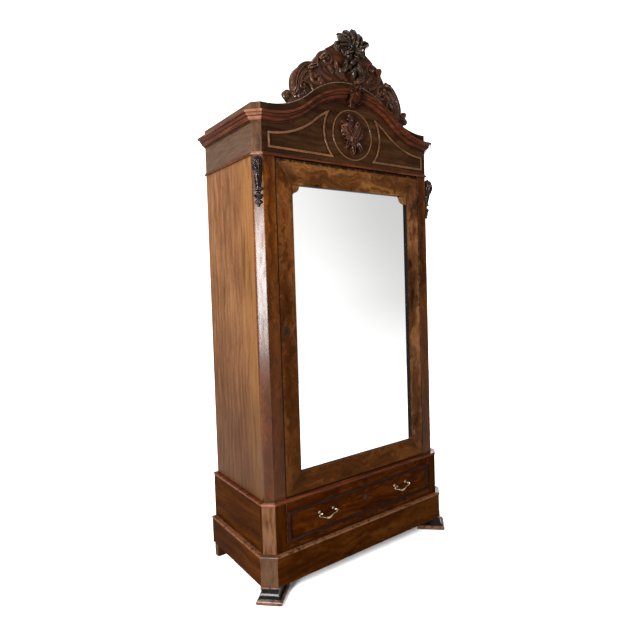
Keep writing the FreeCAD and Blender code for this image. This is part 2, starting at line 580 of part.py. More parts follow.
tip_z = f"({ROUNDEL} + ({INNER_R}^2 - {ROUND_R}^2 + {rise}^2) / (2 * {rise}))"
tip_x = f"sqrt({INNER_R}^2 - ({tip_z} - {ROUNDEL})^2)"
foot_x = f"sqrt({INNER_R}^2 - ({ROUNDEL} - {PANEL_FOOT})^2)"
beads = []
for side, sign in (("left", -1), ("right", 1)):
    panel = [
        (f"{sign} * {PANEL_EDGE}", PANEL_FOOT), (f"{sign} * {PANEL_EDGE}", edge_z, HOLLOW_R, -sign),
        (f"{sign} * {turn_x}", turn_z, ROUND_R, sign), (f"{sign} * {tip_x}", tip_z, INNER_R, -sign),
        (f"{sign} * {foot_x}", PANEL_FOOT),
    ]
    outline = doc.addObject("Sketcher::SketchObject", "panel_" + side)
    outline.Placement = FreeCAD.Placement(FreeCAD.Vector(), FreeCAD.Rotation(FreeCAD.Vector(1, 0, 0), 90))
    outline.setExpression("Placement.Base.y", cell(FACE))
    add_loop(outline, panel)
    doc.recompute()
    strip = doc.addObject("Part::Offset2D", "strip_" + side)
    strip.Source = outline
    strip.setExpression("Value", cell("-bead_width"))
    strip.Join = 2
    strip.Fill = True
    raised = doc.addObject("Part::Extrusion", "bead_" + side)
    raised.Base = strip
    raised.DirMode = "Custom"
    raised.Dir = FreeCAD.Vector(0, -1, 0)
    raised.setExpression("LengthFwd", cell("bead_height"))
    raised.Solid = True
    beads.append(raised)
keep(group("frieze_beads", beads))

ring = new_body("roundel_ring")
ring_section = new_sketch(ring, "YZ", "0", [[("0", "roundel_radius - bead_width / 2", -ROUND_BULGE_SHARE),
                                              ("0", "roundel_radius + bead_width / 2")]])
turned_ring = ring.newObject("PartDesign::Revolution", "turned")
turned_ring.Profile = ring_section
turned_ring.ReferenceAxis = ([f for f in ring.Origin.OriginFeatures if f.Role == "Y_Axis"][0], [""])
turned_ring.Angle = 360
place(ring, "0", FACE, ROUNDEL)
keep(ring)

# fruit and leaves of the roundel: flattened ellipsoids joined and cut level with the frieze
BOUQUET_SHARES = [  # x, z, half width, half height, relief, lean
    (-0.02, 0.36, 0.17, 0.15, 0.80, 0), (-0.26, 0.10, 0.17, 0.13, 0.72, 30),
    (0.05, 0.10, 0.20, 0.15, 1.0, 0), (0.28, 0.00, 0.17, 0.14, 0.82, -20),
    (-0.14, -0.12, 0.19, 0.14, 0.95, 10), (0.14, -0.16, 0.18, 0.14, 0.90, 0),
    (-0.36, 0.26, 0.13, 0.06, 0.40, 150), (0.30, 0.24, 0.14, 0.06, 0.42, 40),
    (-0.36, -0.28, 0.16, 0.06, 0.42, 40), (0.36, -0.30, 0.18, 0.06, 0.42, 125),
    (-0.08, -0.36, 0.20, 0.07, 0.52, 105), (0.14, -0.38, 0.19, 0.07, 0.50, 80),
]
fruits = []
for i, (x, z, wide, tall, relief, lean) in enumerate(BOUQUET_SHARES):
    lobe = doc.addObject("Part::Ellipsoid", f"lobe_{i}")
    lobe.setExpression("Radius1", cell(f"bouquet_relief * {relief}"))
    lobe.setExpression("Radius2", cell(f"bouquet_width * {wide}"))
    lobe.setExpression("Radius3", cell(f"bouquet_height * {tall}"))
    upright = FreeCAD.Rotation(FreeCAD.Vector(0, 1, 0), -lean).multiply(
        FreeCAD.Rotation(FreeCAD.Vector(1, 0, 0), 90))
    lobe.Placement = FreeCAD.Placement(FreeCAD.Vector(), upright)
    lobe.setExpression("Placement.Base.x", cell(f"bouquet_width * {x}"))
    lobe.setExpression("Placement.Base.y", cell(FACE))
    lobe.setExpression("Placement.Base.z", cell(f"{ROUNDEL} + bouquet_height * {z}"))
    fruits.append(lobe)
bunch = doc.addObject("Part::MultiFuse", "bunch")
bunch.Shapes = fruits
wall = board("bouquet_wall", "-bouquet_width * 2", "bouquet_width * 2", FACE, f"{FACE} + bouquet_relief * 2",
             f"{ROUNDEL} - bouquet_height * 2", f"{ROUNDEL} + bouquet_height * 2")
bouquet = doc.addObject("Part::Cut", "bouquet")
bouquet.Base = bunch
bouquet.Tool = wall
bouquet.Label = "roundel_bouquet"
keep(bouquet)

# crest: scrolled board that sits on the arch, raised scrolls on its face and a leaf cartouche at the middle
CREST_FOOT = f"({PARAPET_TOP} + arch_rise)"
CREST_FACE = f"({FACE} + crest_setback)"
CREST_REAR = f"({CREST_FACE} + crest_thickness)"
CREST_SHARES = [  # right half from the end scroll to the top, of half width and of height over the crown
    (1.0, -0.48, 0.80), (0.915, -0.40), (0.885, -0.35, 0.52), (0.620, 0.145), (0.600, 0.170, 0.16),
    (0.345, 0.550), (0.240, 0.680),
]
CREST_SEAT_SHARE = 0.93
crest_x = f"(crest_half_width * {CREST_SEAT_SHARE})"
crest_z = f"({PARAPET_TOP} + {ARCH_R} - sqrt({ARCH_R}^2 - ({SPAN} - {crest_x})^2))"
crest_edge = [(f"crest_half_width * {s[0]}", f"{CREST_FOOT} + crest_height * {s[1]}") + s[2:]
              for s in mirrored(CREST_SHARES)]
crest_loop = ([(f"-{crest_x}", crest_z, ARCH_R, 1),
               (f"-{SPAN} / 2", f"{PARAPET_TOP} + arch_rise / 2", ARCH_R, -1),
               (f"{SPAN} / 2", f"{PARAPET_TOP} + arch_rise / 2", ARCH_R, 1), (crest_x, crest_z)]
              + crest_edge)
keep(prism("crest_board", "XZ", CREST_FACE, CREST_REAR, crest_loop))

SCROLL_SHARES = [  # hub across and up, first radius, as shares of the crest; first bearing in degrees
    (0.600, -0.005, 0.210, -75), (0.425, 0.300, 0.240, -60), (0.915, -0.450, 0.080, -20),
]
VOLUTE_SHRINK_SHARE = 0.80
VOLUTE_BAND_SHARE = 0.27
VOLUTE_QUARTER_COUNT = 7


def volute(sign, hub, radius, bearing):
    """Band that winds inwards by quarter turns, out along its outer edge and back along its inner edge."""
    outer, inner = [], []
    for k in range(VOLUTE_QUARTER_COUNT + 1):
        angle = bearing + 90 * k
        reach = VOLUTE_SHRINK_SHARE ** k
        for edge, share in ((outer, reach), (inner, reach * (1 - VOLUTE_BAND_SHARE))):
            across = f"{sign} * ({hub[0]} + {radius} * {share:.6f} * cos({angle}))"
            edge.append((across, f"{hub[1]} + {radius} * {share:.6f} * sin({angle})"))
    turn = sign * QUARTER_BULGE_SHARE
    there = [v + (turn,) for v in outer[:-1]] + outer[-1:]
    back = [v + (-turn,) for v in inner[:0:-1]] + inner[:1]
    return there + back


scrolls = []
for side, sign in (("left", -1), ("right", 1)):
    for i, (across, up, radius, bearing) in enumerate(SCROLL_SHARES):
        hub = f"crest_half_width * {across}", f"{CREST_FOOT} + crest_height * {up}"
        scrolls.append(prism(f"crest_scroll_{side}_{i + 1}", "XZ", f"{CREST_FACE} - scroll_relief",
                             CREST_FACE, volute(sign, hub, f"crest_height * {radius}", bearing)))
keep(group("crest_scrolls", scrolls))

CARTOUCHE_SIDE_SHARES = [(0.0, 0.0), (0.45, 0.02, 0.40), (0.95, 0.30, 0.15), (0.90, 0.62, -0.15),
                         (0.55, 0.80, 0.35), (0.30, 1.0)]
CARTOUCHE_FRONT_SHARES = [(0.0, 0.0, 0.25), (0.20, 0.08, 0.30), (0.26, 0.36, 0.10), (0.38, 0.60),
                          (0.50, 0.70, 0.40), (0.40, 0.83, 0.25), (0.19, 0.90, 0.35), (0.0, 1.0)]
CREST_TOP = f"({CREST_FOOT} + crest_height)"
cartouche_foot = f"({CREST_TOP} - cartouche_height)"
deck = f"({CREST_FOOT} + crest_height * {CREST_SHARES[-1][1]})"
side_loop = [(f"{CREST_FACE} - cartouche_relief * {s[0]}", f"{cartouche_foot} + cartouche_height * {s[1]}")
             + tuple(-b for b in s[2:]) for s in CARTOUCHE_SIDE_SHARES]
side_loop += [(CREST_REAR, CREST_TOP), (CREST_REAR, deck), (CREST_FACE, deck)]
front_loop = [(f"cartouche_width * {s[0]}", f"{cartouche_foot} + cartouche_height * {s[1]}") + tuple(s[2:])
              for s in mirrored(CARTOUCHE_FRONT_SHARES)]
cartouche_side = prism("cartouche_side", "YZ", "-cartouche_width", "cartouche_width", side_loop)
cartouche_front = prism("cartouche_front", "XZ", f"{CREST_FACE} - cartouche_relief - overrun",
                        f"{CREST_REAR} + overrun", front_loop)
keep(common("crest_cartouche", cartouche_side, cartouche_front))

# corbels on the canted corners: side outline trimmed by front outline
CORBEL_SIDE_SHARES = [(0.0, 0.0), (0.10, 0.0, 0.55), (0.16, 0.14, 0.55), (0.22, 0.27, 0.50),
                      (0.30, 0.40, -0.22), (0.72, 0.58, 0.50), (0.62, 0.96, 0.15), (0.30, 1.0), (0.0, 1.0)]
CORBEL_FRONT_SHARES = [(0.0, 0.0, 0.30), (0.30, 0.08, 0.15), (0.20, 0.20), (0.20, 0.23, 0.45), (0.38, 0.37),
                       (0.32, 0.42), (0.42, 0.56, 0.18), (0.46, 0.88, 0.20), (0.36, 1.0)]
CANT_TURN_SHARE = 0.125
corbel_foot = f"({FRIEZE_FOOT} - astragal_drop - corbel_drop - corbel_height)"
corbels = []
for side, sign in (("left", -1), ("right", 1)):
    side_loop = [(f"-corbel_projection * {s[0]}", f"corbel_height * {s[1]}") + tuple(-b for b in s[2:])
                 for s in CORBEL_SIDE_SHARES]
    front_loop = [(f"corbel_width * {s[0]}", f"corbel_height * {s[1]}") + tuple(s[2:])
                  for s in mirrored(CORBEL_FRONT_SHARES)]
    flank = prism("corbel_side_" + side, "YZ", "-corbel_width", "corbel_width", side_loop)
    front = prism("corbel_front_" + side, "XZ", "-corbel_projection - overrun", "overrun", front_loop)
    item = common("corbel_" + side, flank, front)
    corbels.append(place(item, f"{sign} * ({HALF} - cant_leg / 2)", f"{FACE} + cant_leg / 2", corbel_foot,
                         math.degrees(math.tau * CANT_TURN_SHARE * sign)))
keep(group("corbels", corbels))

# door: mitred frame with a rebate for the mirror; the top rail carries rounded lugs into the glass corners
DOOR_EDGE = f"({POST_EDGE} - door_gap)"
DOOR_FOOT = f"({BASE_TOP} + door_foot_gap)"
DOOR_HEAD = f"({FRIEZE_FOOT} - door_head_gap)"
SIGHT = f"({DOOR_EDGE} - door_stile_width)"
SIGHT_FOOT = f"({DOOR_FOOT} + bottom_rail_width)"
SIGHT_HEAD = f"({DOOR_HEAD} - top_rail_width)"
LIP_BACK = f"({FACE} + lip_thickness)"
DOOR_BACK = f"({FACE} + door_thickness)"
REB = f"({SIGHT} + rebate_width)"
REB_FOOT = f"({SIGHT_FOOT} - rebate_width)"
REB_HEAD = f"({SIGHT_HEAD} + rebate_width)"
stiles = {}
for side, sign in (("left", -1), ("right", 1)):
    body = new_body("door_stile_" + side)
    for low, high, edge, foot, head in ((FACE, LIP_BACK, SIGHT, SIGHT_FOOT, SIGHT_HEAD),
                                        (LIP_BACK, DOOR_BACK, REB, REB_FOOT, REB_HEAD)):
        pad(body, "XZ", low, high, [(f"{sign} * {DOOR_EDGE}", DOOR_FOOT), (f"{sign} * {edge}", foot),
                                    (f"{sign} * {edge}", head), (f"{sign} * {DOOR_EDGE}", DOOR_HEAD)])
    stiles[side] = keep(body)
bottom_rail = new_body("door_bottom_rail")
top_rail = new_body("door_top_rail")
LUG = "(lug_radius + lug_step)"
for low, high, edge, foot in ((FACE, LIP_BACK, SIGHT, SIGHT_FOOT), (LIP_BACK, DOOR_BACK, REB, REB_FOOT)):
    pad(bottom_rail, "XZ", low, high, [(f"-{DOOR_EDGE}", DOOR_FOOT), (DOOR_EDGE, DOOR_FOOT), (edge, foot),
                                       (f"-{edge}", foot)])
pad(top_rail, "XZ", FACE, LIP_BACK, [
    (f"-{DOOR_EDGE}", DOOR_HEAD), (f"-{SIGHT}", SIGHT_HEAD), (f"-{SIGHT}", f"{SIGHT_HEAD} - {LUG}"),
    (f"-{SIGHT} + lug_step", f"{SIGHT_HEAD} - {LUG}"),
    (f"-{SIGHT} + lug_step", f"{SIGHT_HEAD} - lug_radius", QUARTER_BULGE_SHARE),
    (f"-{SIGHT} + lug_radius", f"{SIGHT_HEAD} - lug_step"),
    (f"-{SIGHT} + {LUG}", f"{SIGHT_HEAD} - lug_step"),
    (f"-{SIGHT} + {LUG}", SIGHT_HEAD), (f"{SIGHT} - {LUG}", SIGHT_HEAD),
    (f"{SIGHT} - {LUG}", f"{SIGHT_HEAD} - lug_step"),
    (f"{SIGHT} - lug_radius", f"{SIGHT_HEAD} - lug_step", QUARTER_BULGE_SHARE),
    (f"{SIGHT} - lug_step", f"{SIGHT_HEAD} - lug_radius"), (f"{SIGHT} - lug_step", f"{SIGHT_HEAD} - {LUG}"),
    (SIGHT, f"{SIGHT_HEAD} - {LUG}"), (SIGHT, SIGHT_HEAD), (DOOR_EDGE, DOOR_HEAD)])
pad(top_rail, "XZ", LIP_BACK, DOOR_BACK, [(f"-{DOOR_EDGE}", DOOR_HEAD), (f"-{REB}", REB_HEAD),
                                          (REB, REB_HEAD), (DOOR_EDGE, DOOR_HEAD)])
# pivots at the right: pins on plates under the frieze and on the nosing, bores in both rails
PIVOT_X = f"({DOOR_EDGE} - pivot_inset)"
PIVOT_Y = f"({FACE} + pivot_setback)"
BORE = "(pivot_radius + running_fit)"
bore = ("ring", PIVOT_X, PIVOT_Y, BORE)
pocket(bottom_rail, "XY", DOOR_FOOT, f"{DOOR_FOOT} + pivot_depth + slide_fit", bore)
pocket(top_rail, "XY", f"{DOOR_HEAD} - pivot_depth - slide_fit", DOOR_HEAD, bore)
keep(bottom_rail)
keep(top_rail)
plate_loop = box_loop(f"{PIVOT_X} - pivot_plate_length / 2", f"{PIVOT_X} + pivot_inset - door_gap",
                      f"{PIVOT_Y} - pivot_plate_width / 2", f"{PIVOT_Y} + pivot_plate_width / 2")
lower_pivot = prism("pivot_lower", "XY", BASE_TOP, f"{BASE_TOP} + pivot_plate", plate_loop)
pad(lower_pivot, "XY", f"{BASE_TOP} + pivot_plate", f"{DOOR_FOOT} + pivot_depth",
    ("ring", PIVOT_X, PIVOT_Y, "pivot_radius"))
upper_pivot = prism("pivot_upper", "XY", f"{FRIEZE_FOOT} - pivot_plate", FRIEZE_FOOT, plate_loop)
pad(upper_pivot, "XY", f"{DOOR_HEAD} - pivot_depth", f"{FRIEZE_FOOT} - pivot_plate",
    ("ring", PIVOT_X, PIVOT_Y, "pivot_radius"))
keep(group("door_pivots", [lower_pivot, upper_pivot]))

GLASS = f"({REB} - glass_fit)"
GLASS_FOOT = f"({REB_FOOT} + glass_fit)"
GLASS_HEAD = f"({REB_HEAD} - glass_fit)"
GLASS_BACK = f"({LIP_BACK} + glass_thickness)"
keep(board("mirror_glass", f"-{GLASS}", GLASS, LIP_BACK, GLASS_BACK, GLASS_FOOT, GLASS_HEAD))
keep(board("mirror_back", f"-{REB}", REB, GLASS_BACK, f"{GLASS_BACK} + mirror_back_thickness", REB_FOOT,
           REB_HEAD))


def keyhole(x, z):
    """Narrow foot of a keyhole, under its round hole."""
    return box_loop(f"{x} - key_slot / 2", f"{x} + key_slot / 2", f"{z} - key_slot_drop", z)


# door lock let into the left stile, its bolt at rest inside the case
LOCK_LEFT = f"(-{DOOR_EDGE})"
LOCK_RIGHT = f"(-{DOOR_EDGE} + lock_width)"
LOCK_FRONT = f"({FACE} + lock_recess)"
KEY_X = f"(-{DOOR_EDGE} + key_inset)"
lock_loop = box_loop(LOCK_LEFT, LOCK_RIGHT, f"{KEY} - lock_height / 2", f"{KEY} + lock_height / 2")
stile = stiles["left"]
pocket(stile, "XZ", LOCK_FRONT, DOOR_BACK, lock_loop)
pocket(stile, "XZ", FACE, LOCK_FRONT, ("ring", KEY_X, KEY, "key_radius"))
pocket(stile, "XZ", FACE, LOCK_FRONT, keyhole(KEY_X, KEY))
lock_case = prism("door_lock_case", "XZ", LOCK_FRONT, DOOR_BACK, lock_loop)
pocket(lock_case, "YZ", LOCK_LEFT, f"{LOCK_LEFT} + bolt_length + 2 * slide_fit",
       box_loop(f"{BOLT_Y} - bolt_thickness / 2 - slide_fit", f"{BOLT_Y} + bolt_thickness / 2 + slide_fit",
                f"{KEY} - bolt_width / 2 - slide_fit", f"{KEY} + bolt_width / 2 + slide_fit"))
keep(lock_case)
keep(board("door_lock_bolt", f"{LOCK_LEFT} + slide_fit", f"{LOCK_LEFT} + slide_fit + bolt_length",
           f"{BOLT_Y} - bolt_thickness / 2", f"{BOLT_Y} + bolt_thickness / 2", f"{KEY} - bolt_width / 2",
           f"{KEY} + bolt_width / 2"))
PLATE_SHARES = [(0.0, -0.5, 0.30), (0.30, -0.36, 0.22), (0.5, 0.0, 0.22), (0.30, 0.36, 0.30), (0.0, 0.5)]


def escutcheon(label, x, z, face):
    loop = [(f"{x} + plate_width * {s[0]}", f"{z} - key_radius + plate_height * {s[1]}") + tuple(s[2:])
            for s in mirrored(PLATE_SHARES)]
    body = prism(label, "XZ", f"{face} - plate_thickness", face, loop)
    pocket(body, "XZ", f"{face} - plate_thickness", face, ("ring", x, z, "key_radius"))
    pocket(body, "XZ", f"{face} - plate_thickness", face, keyhole(x, z))
    return body


keep(escutcheon("door_escutcheon", KEY_X, KEY, FACE))

# drawer: front, sides, back and bottom; the applied moulding frames the front
D_EDGE = f"({HALF} - drawer_inset - drawer_gap)"
D_FOOT = f"({RUNNER_TOP} + drawer_gap)"
D_HEAD = f"({NOSE_FOOT} - drawer_gap)"
D_FACE = BASE_FACE
D_INNER = f"({D_FACE} + drawer_front_thickness)"
D_KEY = f"({NOSE_FOOT} - drawer_key_drop)"
HANDLE_Z = f"({D_HEAD} - handle_drop)"
drawer_front = prism("drawer_front", "XZ", D_FACE, D_INNER, box_loop(f"-{D_EDGE}", D_EDGE, D_FOOT, D_HEAD))
D_LOCK_FRONT = f"({D_FACE} + drawer_lock_recess)"
D_BOLT_Y = f"(({D_LOCK_FRONT} + {D_INNER}) / 2)"
d_lock_loop = box_loop("-drawer_lock_width / 2", "drawer_lock_width / 2", f"{D_HEAD} - drawer_lock_height",
                       D_HEAD)
pocket(drawer_front, "XZ", D_LOCK_FRONT, D_INNER, d_lock_loop)
pocket(drawer_front, "XZ", D_FACE, D_LOCK_FRONT, ("ring", "0", D_KEY, "key_radius"))
pocket(drawer_front, "XZ", D_FACE, D_LOCK_FRONT, keyhole("0", D_KEY))
keep(drawer_front)
drawer_plate = prism("drawer_escutcheon", "XZ", f"{D_FACE} - plate_thickness", D_FACE,
                     ("ring", "0", f"{D_KEY} - key_radius", "drawer_plate_radius"))
pocket(drawer_plate, "XZ", f"{D_FACE} - plate_thickness", D_FACE, ("ring", "0", D_KEY, "key_radius"))
pocket(drawer_plate, "XZ", f"{D_FACE} - plate_thickness", D_FACE, keyhole("0", D_KEY))
keep(drawer_plate)
d_lock = prism("drawer_lock_case", "XZ", D_LOCK_FRONT, D_INNER, d_lock_loop)
D_BOLT_LENGTH = "(drawer_lock_height / 2)"
pocket(d_lock, "XY", f"{D_HEAD} - {D_BOLT_LENGTH} - 2 * slide_fit", D_HEAD,
       box_loop("-drawer_bolt_width / 2 - slide_fit", "drawer_bolt_width / 2 + slide_fit",
                f"{D_BOLT_Y} - drawer_bolt_thickness / 2 - slide_fit",
                f"{D_BOLT_Y} + drawer_bolt_thickness / 2 + slide_fit"))
keep(d_lock)
keep(board("drawer_lock_bolt", "-drawer_bolt_width / 2", "drawer_bolt_width / 2",
           f"{D_BOLT_Y} - drawer_bolt_thickness / 2", f"{D_BOLT_Y} + drawer_bolt_thickness / 2",
           f"{D_HEAD} - slide_fit - {D_BOLT_LENGTH}", f"{D_HEAD} - slide_fit"))
# mortise in the nosing over the drawer, measured from the middle of the run
NOSE_MID = f"({HALF} - cant_leg)"
pocket(nosing["front"], "XY", NOSE_FOOT, f"{NOSE_FOOT} + drawer_bolt_travel",
       box_loop(f"{NOSE_MID} - drawer_bolt_width / 2 - 2 * slide_fit",
                f"{NOSE_MID} + drawer_bolt_width / 2 + 2 * slide_fit",
                f"{D_BOLT_Y} - {FACE} - drawer_bolt_thickness / 2 - 2 * slide_fit",
                f"{D_BOLT_Y} - {FACE} + drawer_bolt_thickness / 2 + 2 * slide_fit"))
keep(group("base_nosing", [nosing["left"], nosing["front"], nosing["right"]]))
keep(group("nosing_corners", [nosing["corner_left"], nosing["corner_right"]]))

SIDE_FOOT = f"({RUNNER_TOP} + runner_fit)"
SIDE_BACK = f"({BACK} - back_thickness - drawer_clearance)"
BOTTOM = f"({SIDE_FOOT} + drawer_bottom_rise)"
drawer_sides = []
for side, sign in (("left", -1), ("right", 1)):
    outer, inner = f"{sign} * {D_EDGE}", f"{sign} * ({D_EDGE} - drawer_side_thickness)"
    low, high = sorted((outer, inner), key=number)
    drawer_sides.append(board("drawer_side_" + side, low, high, D_INNER, SIDE_BACK, SIDE_FOOT,
                              f"{SIDE_FOOT} + drawer_side_height"))
keep(group("drawer_sides", drawer_sides))
inside = f"({D_EDGE} - drawer_side_thickness)"
keep(board("drawer_bottom", f"-{inside}", inside, D_INNER, SIDE_BACK, BOTTOM,
           f"{BOTTOM} + drawer_bottom_thickness"))
keep(board("drawer_back", f"-{inside}", inside, f"{SIDE_BACK} - drawer_back_thickness", SIDE_BACK,
           f"{BOTTOM} + drawer_bottom_thickness", f"{SIDE_FOOT} + drawer_side_height"))


def frame_loops(grow):
    """Outer outline of the drawer moulding, drawn in by the given length."""
    return box_loop(f"-({D_EDGE} - drawer_bead_side - ({grow}))", f"{D_EDGE} - drawer_bead_side - ({grow})",
                    f"{D_FOOT} + drawer_bead_foot + ({grow})", f"{D_HEAD} - drawer_bead_top - ({grow})")


drawer_bead = prism("drawer_bead", "XZ", f"{D_FACE} - drawer_bead_step", D_FACE, frame_loops("0"),
                    frame_loops("drawer_bead_width"))
pad(drawer_bead, "XZ", f"{D_FACE} - drawer_bead_height", f"{D_FACE} - drawer_bead_step",
    frame_loops("drawer_bead_step"), frame_loops("drawer_bead_width - drawer_bead_step"))
keep(drawer_bead)

# drop handles: turned posts on the drawer front and a swung bail between each pair
POST_Y = f"({D_FACE} - post_reach)"
ball_join = "sqrt(ball_radius^2 - neck_radius^2)"
post_items = []
for name, sign in (("left", -1), ("right", 1)):
    for at, end in (("outer", sign), ("inner", -sign)):
        body = new_body(f"handle_post_{name}_{at}")
        turned = new_sketch(body, "YZ", "0", [[
            ("0", "0"), ("0", "rosette_radius"),
            ("-rosette_thickness", "rosette_radius - rosette_thickness / 2"),
            ("-rosette_thickness", "neck_radius"),
            (f"-post_reach + {ball_join}", "neck_radius", "ball_radius", 1),
            ("-post_reach", "ball_radius", "ball_radius", 1), ("-post_reach - ball_radius", "0")]])
        spun = body.newObject("PartDesign::Revolution", "turned")
        spun.Profile = turned
        spun.ReferenceAxis = ([f for f in body.Origin.OriginFeatures if f.Role == "Y_Axis"][0], [""])
        spun.Angle = 360
        pocket(body, "YZ", "-ball_radius - overrun", "ball_radius + overrun",
               ("ring", "-post_reach", "0", "bail_radius + running_fit"))
        place(body, f"{sign} * handle_spacing / 2 + {end} * post_spacing / 2", D_FACE, HANDLE_Z)
        post_items.append(body)
keep(group("handle_posts", post_items))

BAIL_X = "(post_spacing / 2 + bail_side)"
BAIL_DIP = "(bail_drop - 2 * bail_curl)"
BAIL_SUM = f"(({BAIL_X}^2 + {BAIL_DIP}^2) / (2 * {BAIL_DIP}))"
CURVE_SHARE = 0.26
KNOP_BULGE_SHARE = 0.18
BAIL_HALF = [  # from the pin in its post to the foot of the bail: across, up, then radius and turn
    ("(post_spacing / 2)", "0"), (BAIL_X, "0", "bail_curl", 1),
    (f"({BAIL_X} + bail_curl)", "-bail_curl", "bail_curl", 1),
    (BAIL_X, "-2 * bail_curl", f"{BAIL_SUM} * {CURVE_SHARE}", -1),
    (f"({BAIL_X} * {1 - CURVE_SHARE})", f"-2 * bail_curl - {BAIL_DIP} * {CURVE_SHARE}",
     f"{BAIL_SUM} * {1 - CURVE_SHARE}", 1),
    ("0", "-bail_drop"),
]
bail_path = [(f"-{v[0]}",) + v[1:] for v in BAIL_HALF[:-1]]
bail_path += [v[:2] + before[2:] for v, before in zip(BAIL_HALF[:0:-1], BAIL_HALF[-2::-1])] + BAIL_HALF[:1]
for name, sign in (("left", -1), ("right", 1)):
    body = new_body("bail_" + name)
    path = new_sketch(body, "XZ", "0", [bail_path], closed=False)
    section = new_sketch(body, "YZ", "-post_spacing / 2", [("ring", "0", "0", "bail_radius")])
    sweep = body.newObject("PartDesign::AdditivePipe", "sweep")
    sweep.Profile = section
    sweep.Spine = (path, [f"Edge{i + 1}" for i in range(len(bail_path) - 1)])
    doc.recompute()
    barrel = new_sketch(body, "XZ", "0", [[
        ("knop_half_length", "0"), ("knop_half_length", "bail_radius + knop_lip", KNOP_BULGE_SHARE),
        ("-knop_half_length", "bail_radius + knop_lip"), ("-knop_half_length", "0")]])
    barrel.setExpression("AttachmentOffset.Base.y", cell("-bail_drop"))
    knop = body.newObject("PartDesign::Revolution", "knop")
    knop.Profile = barrel
    knop.ReferenceAxis = (barrel, ["H_Axis"])
    knop.Angle = 360
    place(body, f"{sign} * handle_spacing / 2", POST_Y, HANDLE_Z)
    keep(body)

doc.recompute()
for item in nodes:
    if {"Invalid", "Error"} & set(item.State):
        raise RuntimeError(f"{item.Label} did not build: {item.State}")
    if item.Shape.isNull() or not item.Shape.isValid():
        raise RuntimeError(f"{item.Label} has no valid shape")
    item.Shape.exportStep(f"parts/{item.Label}.step")
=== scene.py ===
"""Looks of a tall mirrored cabinet: polished walnut, dark carving, silvered glass and brass."""
import logging
import math
from dataclasses import dataclass, field, replace
from enum import Enum
from typing import Union

import bmesh
import bpy
from mathutils import Matrix, Vector


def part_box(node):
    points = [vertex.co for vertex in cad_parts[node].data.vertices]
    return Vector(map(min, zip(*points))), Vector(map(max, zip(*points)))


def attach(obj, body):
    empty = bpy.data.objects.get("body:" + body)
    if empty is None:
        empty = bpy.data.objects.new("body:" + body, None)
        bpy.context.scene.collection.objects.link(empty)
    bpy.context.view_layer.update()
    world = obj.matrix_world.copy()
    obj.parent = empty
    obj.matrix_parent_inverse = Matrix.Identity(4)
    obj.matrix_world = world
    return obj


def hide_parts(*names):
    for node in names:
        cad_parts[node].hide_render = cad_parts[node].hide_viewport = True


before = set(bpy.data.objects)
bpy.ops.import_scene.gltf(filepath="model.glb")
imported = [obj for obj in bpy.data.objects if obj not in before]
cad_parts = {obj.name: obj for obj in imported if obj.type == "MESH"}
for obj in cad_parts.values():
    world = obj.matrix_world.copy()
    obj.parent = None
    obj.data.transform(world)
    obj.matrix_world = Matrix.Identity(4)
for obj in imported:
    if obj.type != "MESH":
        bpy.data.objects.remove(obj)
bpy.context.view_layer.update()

LOG = logging.getLogger("cabinet")

# What all the woods have in common: patterns, colour, rubbed edges with painted highlights, painted
# shade in corners, roughness and relief.
SEED_STEPS = (0.731, 1.173, 0.457)
FIBRES_IN_STREAK, PORES_IN_STREAK = 9.0, 21.0
CLOUD_SCALE, PATCH_SCALE, SMEAR_SCALE, GOUGE_SCALE = 3.1, 38.0, 7.0, 95.0
STREAK_SHARE, FIBRE_SHARE, TONE_SHIFT = 0.95, 0.22, 0.085
LATE_WOOD, MIDDLE_WOOD, EARLY_WOOD = 0.30, 0.50, 0.70
PORE_DEPTH, PORE_TONE = 0.45, 0.45
# Colour of the painted shade in corners and crevices.
CORNER_SHADE = (0.006, 0.004, 0.003)
EDGE_TURN = (0.015, 0.16)
EDGE_FADE = 0.05
FIBRE_ROUGH, SMEAR_ROUGH, EDGE_ROUGH, COAT_ROUGH = 0.14, 0.16, 0.12, 0.24
FIBRE_RELIEF, PORE_RELIEF = 0.5, 0.6
# Carvings: left and right, faces of strips and fruits, and the angle in degrees shaded smooth.
SIDES = (-1, 1)
STRIP_ROWS, FACES_PER_POINT = 8, 6
FRUIT_SEGMENTS, FRUIT_RINGS = 20, 12
SMOOTH_BELOW = 48.0

Pair = tuple[float, float]
Colour = tuple[float, float, float]
Pairs = tuple[Pair, ...]
Point = tuple[float, ...]
Rows = tuple[Point, ...]
Number = Union["Value", float]


class Value:
    """One output of a shader tree; arithmetic on it adds Math nodes."""

    def __init__(self, graph: "Graph", socket: bpy.types.NodeSocket) -> None:
        """Keep the tree and the socket."""
        self.graph = graph
        self.socket = socket

    def math(self, operation: str, first: Number, second: Number) -> "Value":
        """Output of a new Math node with an operation and its two inputs."""
        return self.graph.node("Math", {"operation": operation}, {0: first, 1: second})

    def __add__(self, other: Number) -> "Value":
        """Sum."""
        return self.math("ADD", self, other)

    def __radd__(self, other: float) -> "Value":
        """Sum with a number on the left."""
        return self.math("ADD", other, self)

    def __sub__(self, other: Number) -> "Value":
        """Difference."""
        return self.math("SUBTRACT", self, other)

    def __rsub__(self, other: float) -> "Value":
        """Difference from a number."""
        return self.math("SUBTRACT", other, self)

    def __mul__(self, other: Number) -> "Value":
        """Product."""
        return self.math("MULTIPLY", self, other)

    def __pow__(self, other: Number) -> "Value":
        """Power."""
        return self.math("POWER", self, other)

    def size(self) -> "Value":
        """Absolute value."""
        return self.math("ABSOLUTE", self, 0.0)

    def whole(self) -> "Value":
        """Whole part."""
        return self.math("FLOOR", self, 0.0)

    def most(self, other: Number) -> "Value":
        """Larger of two."""
        return self.math("MAXIMUM", self, other)


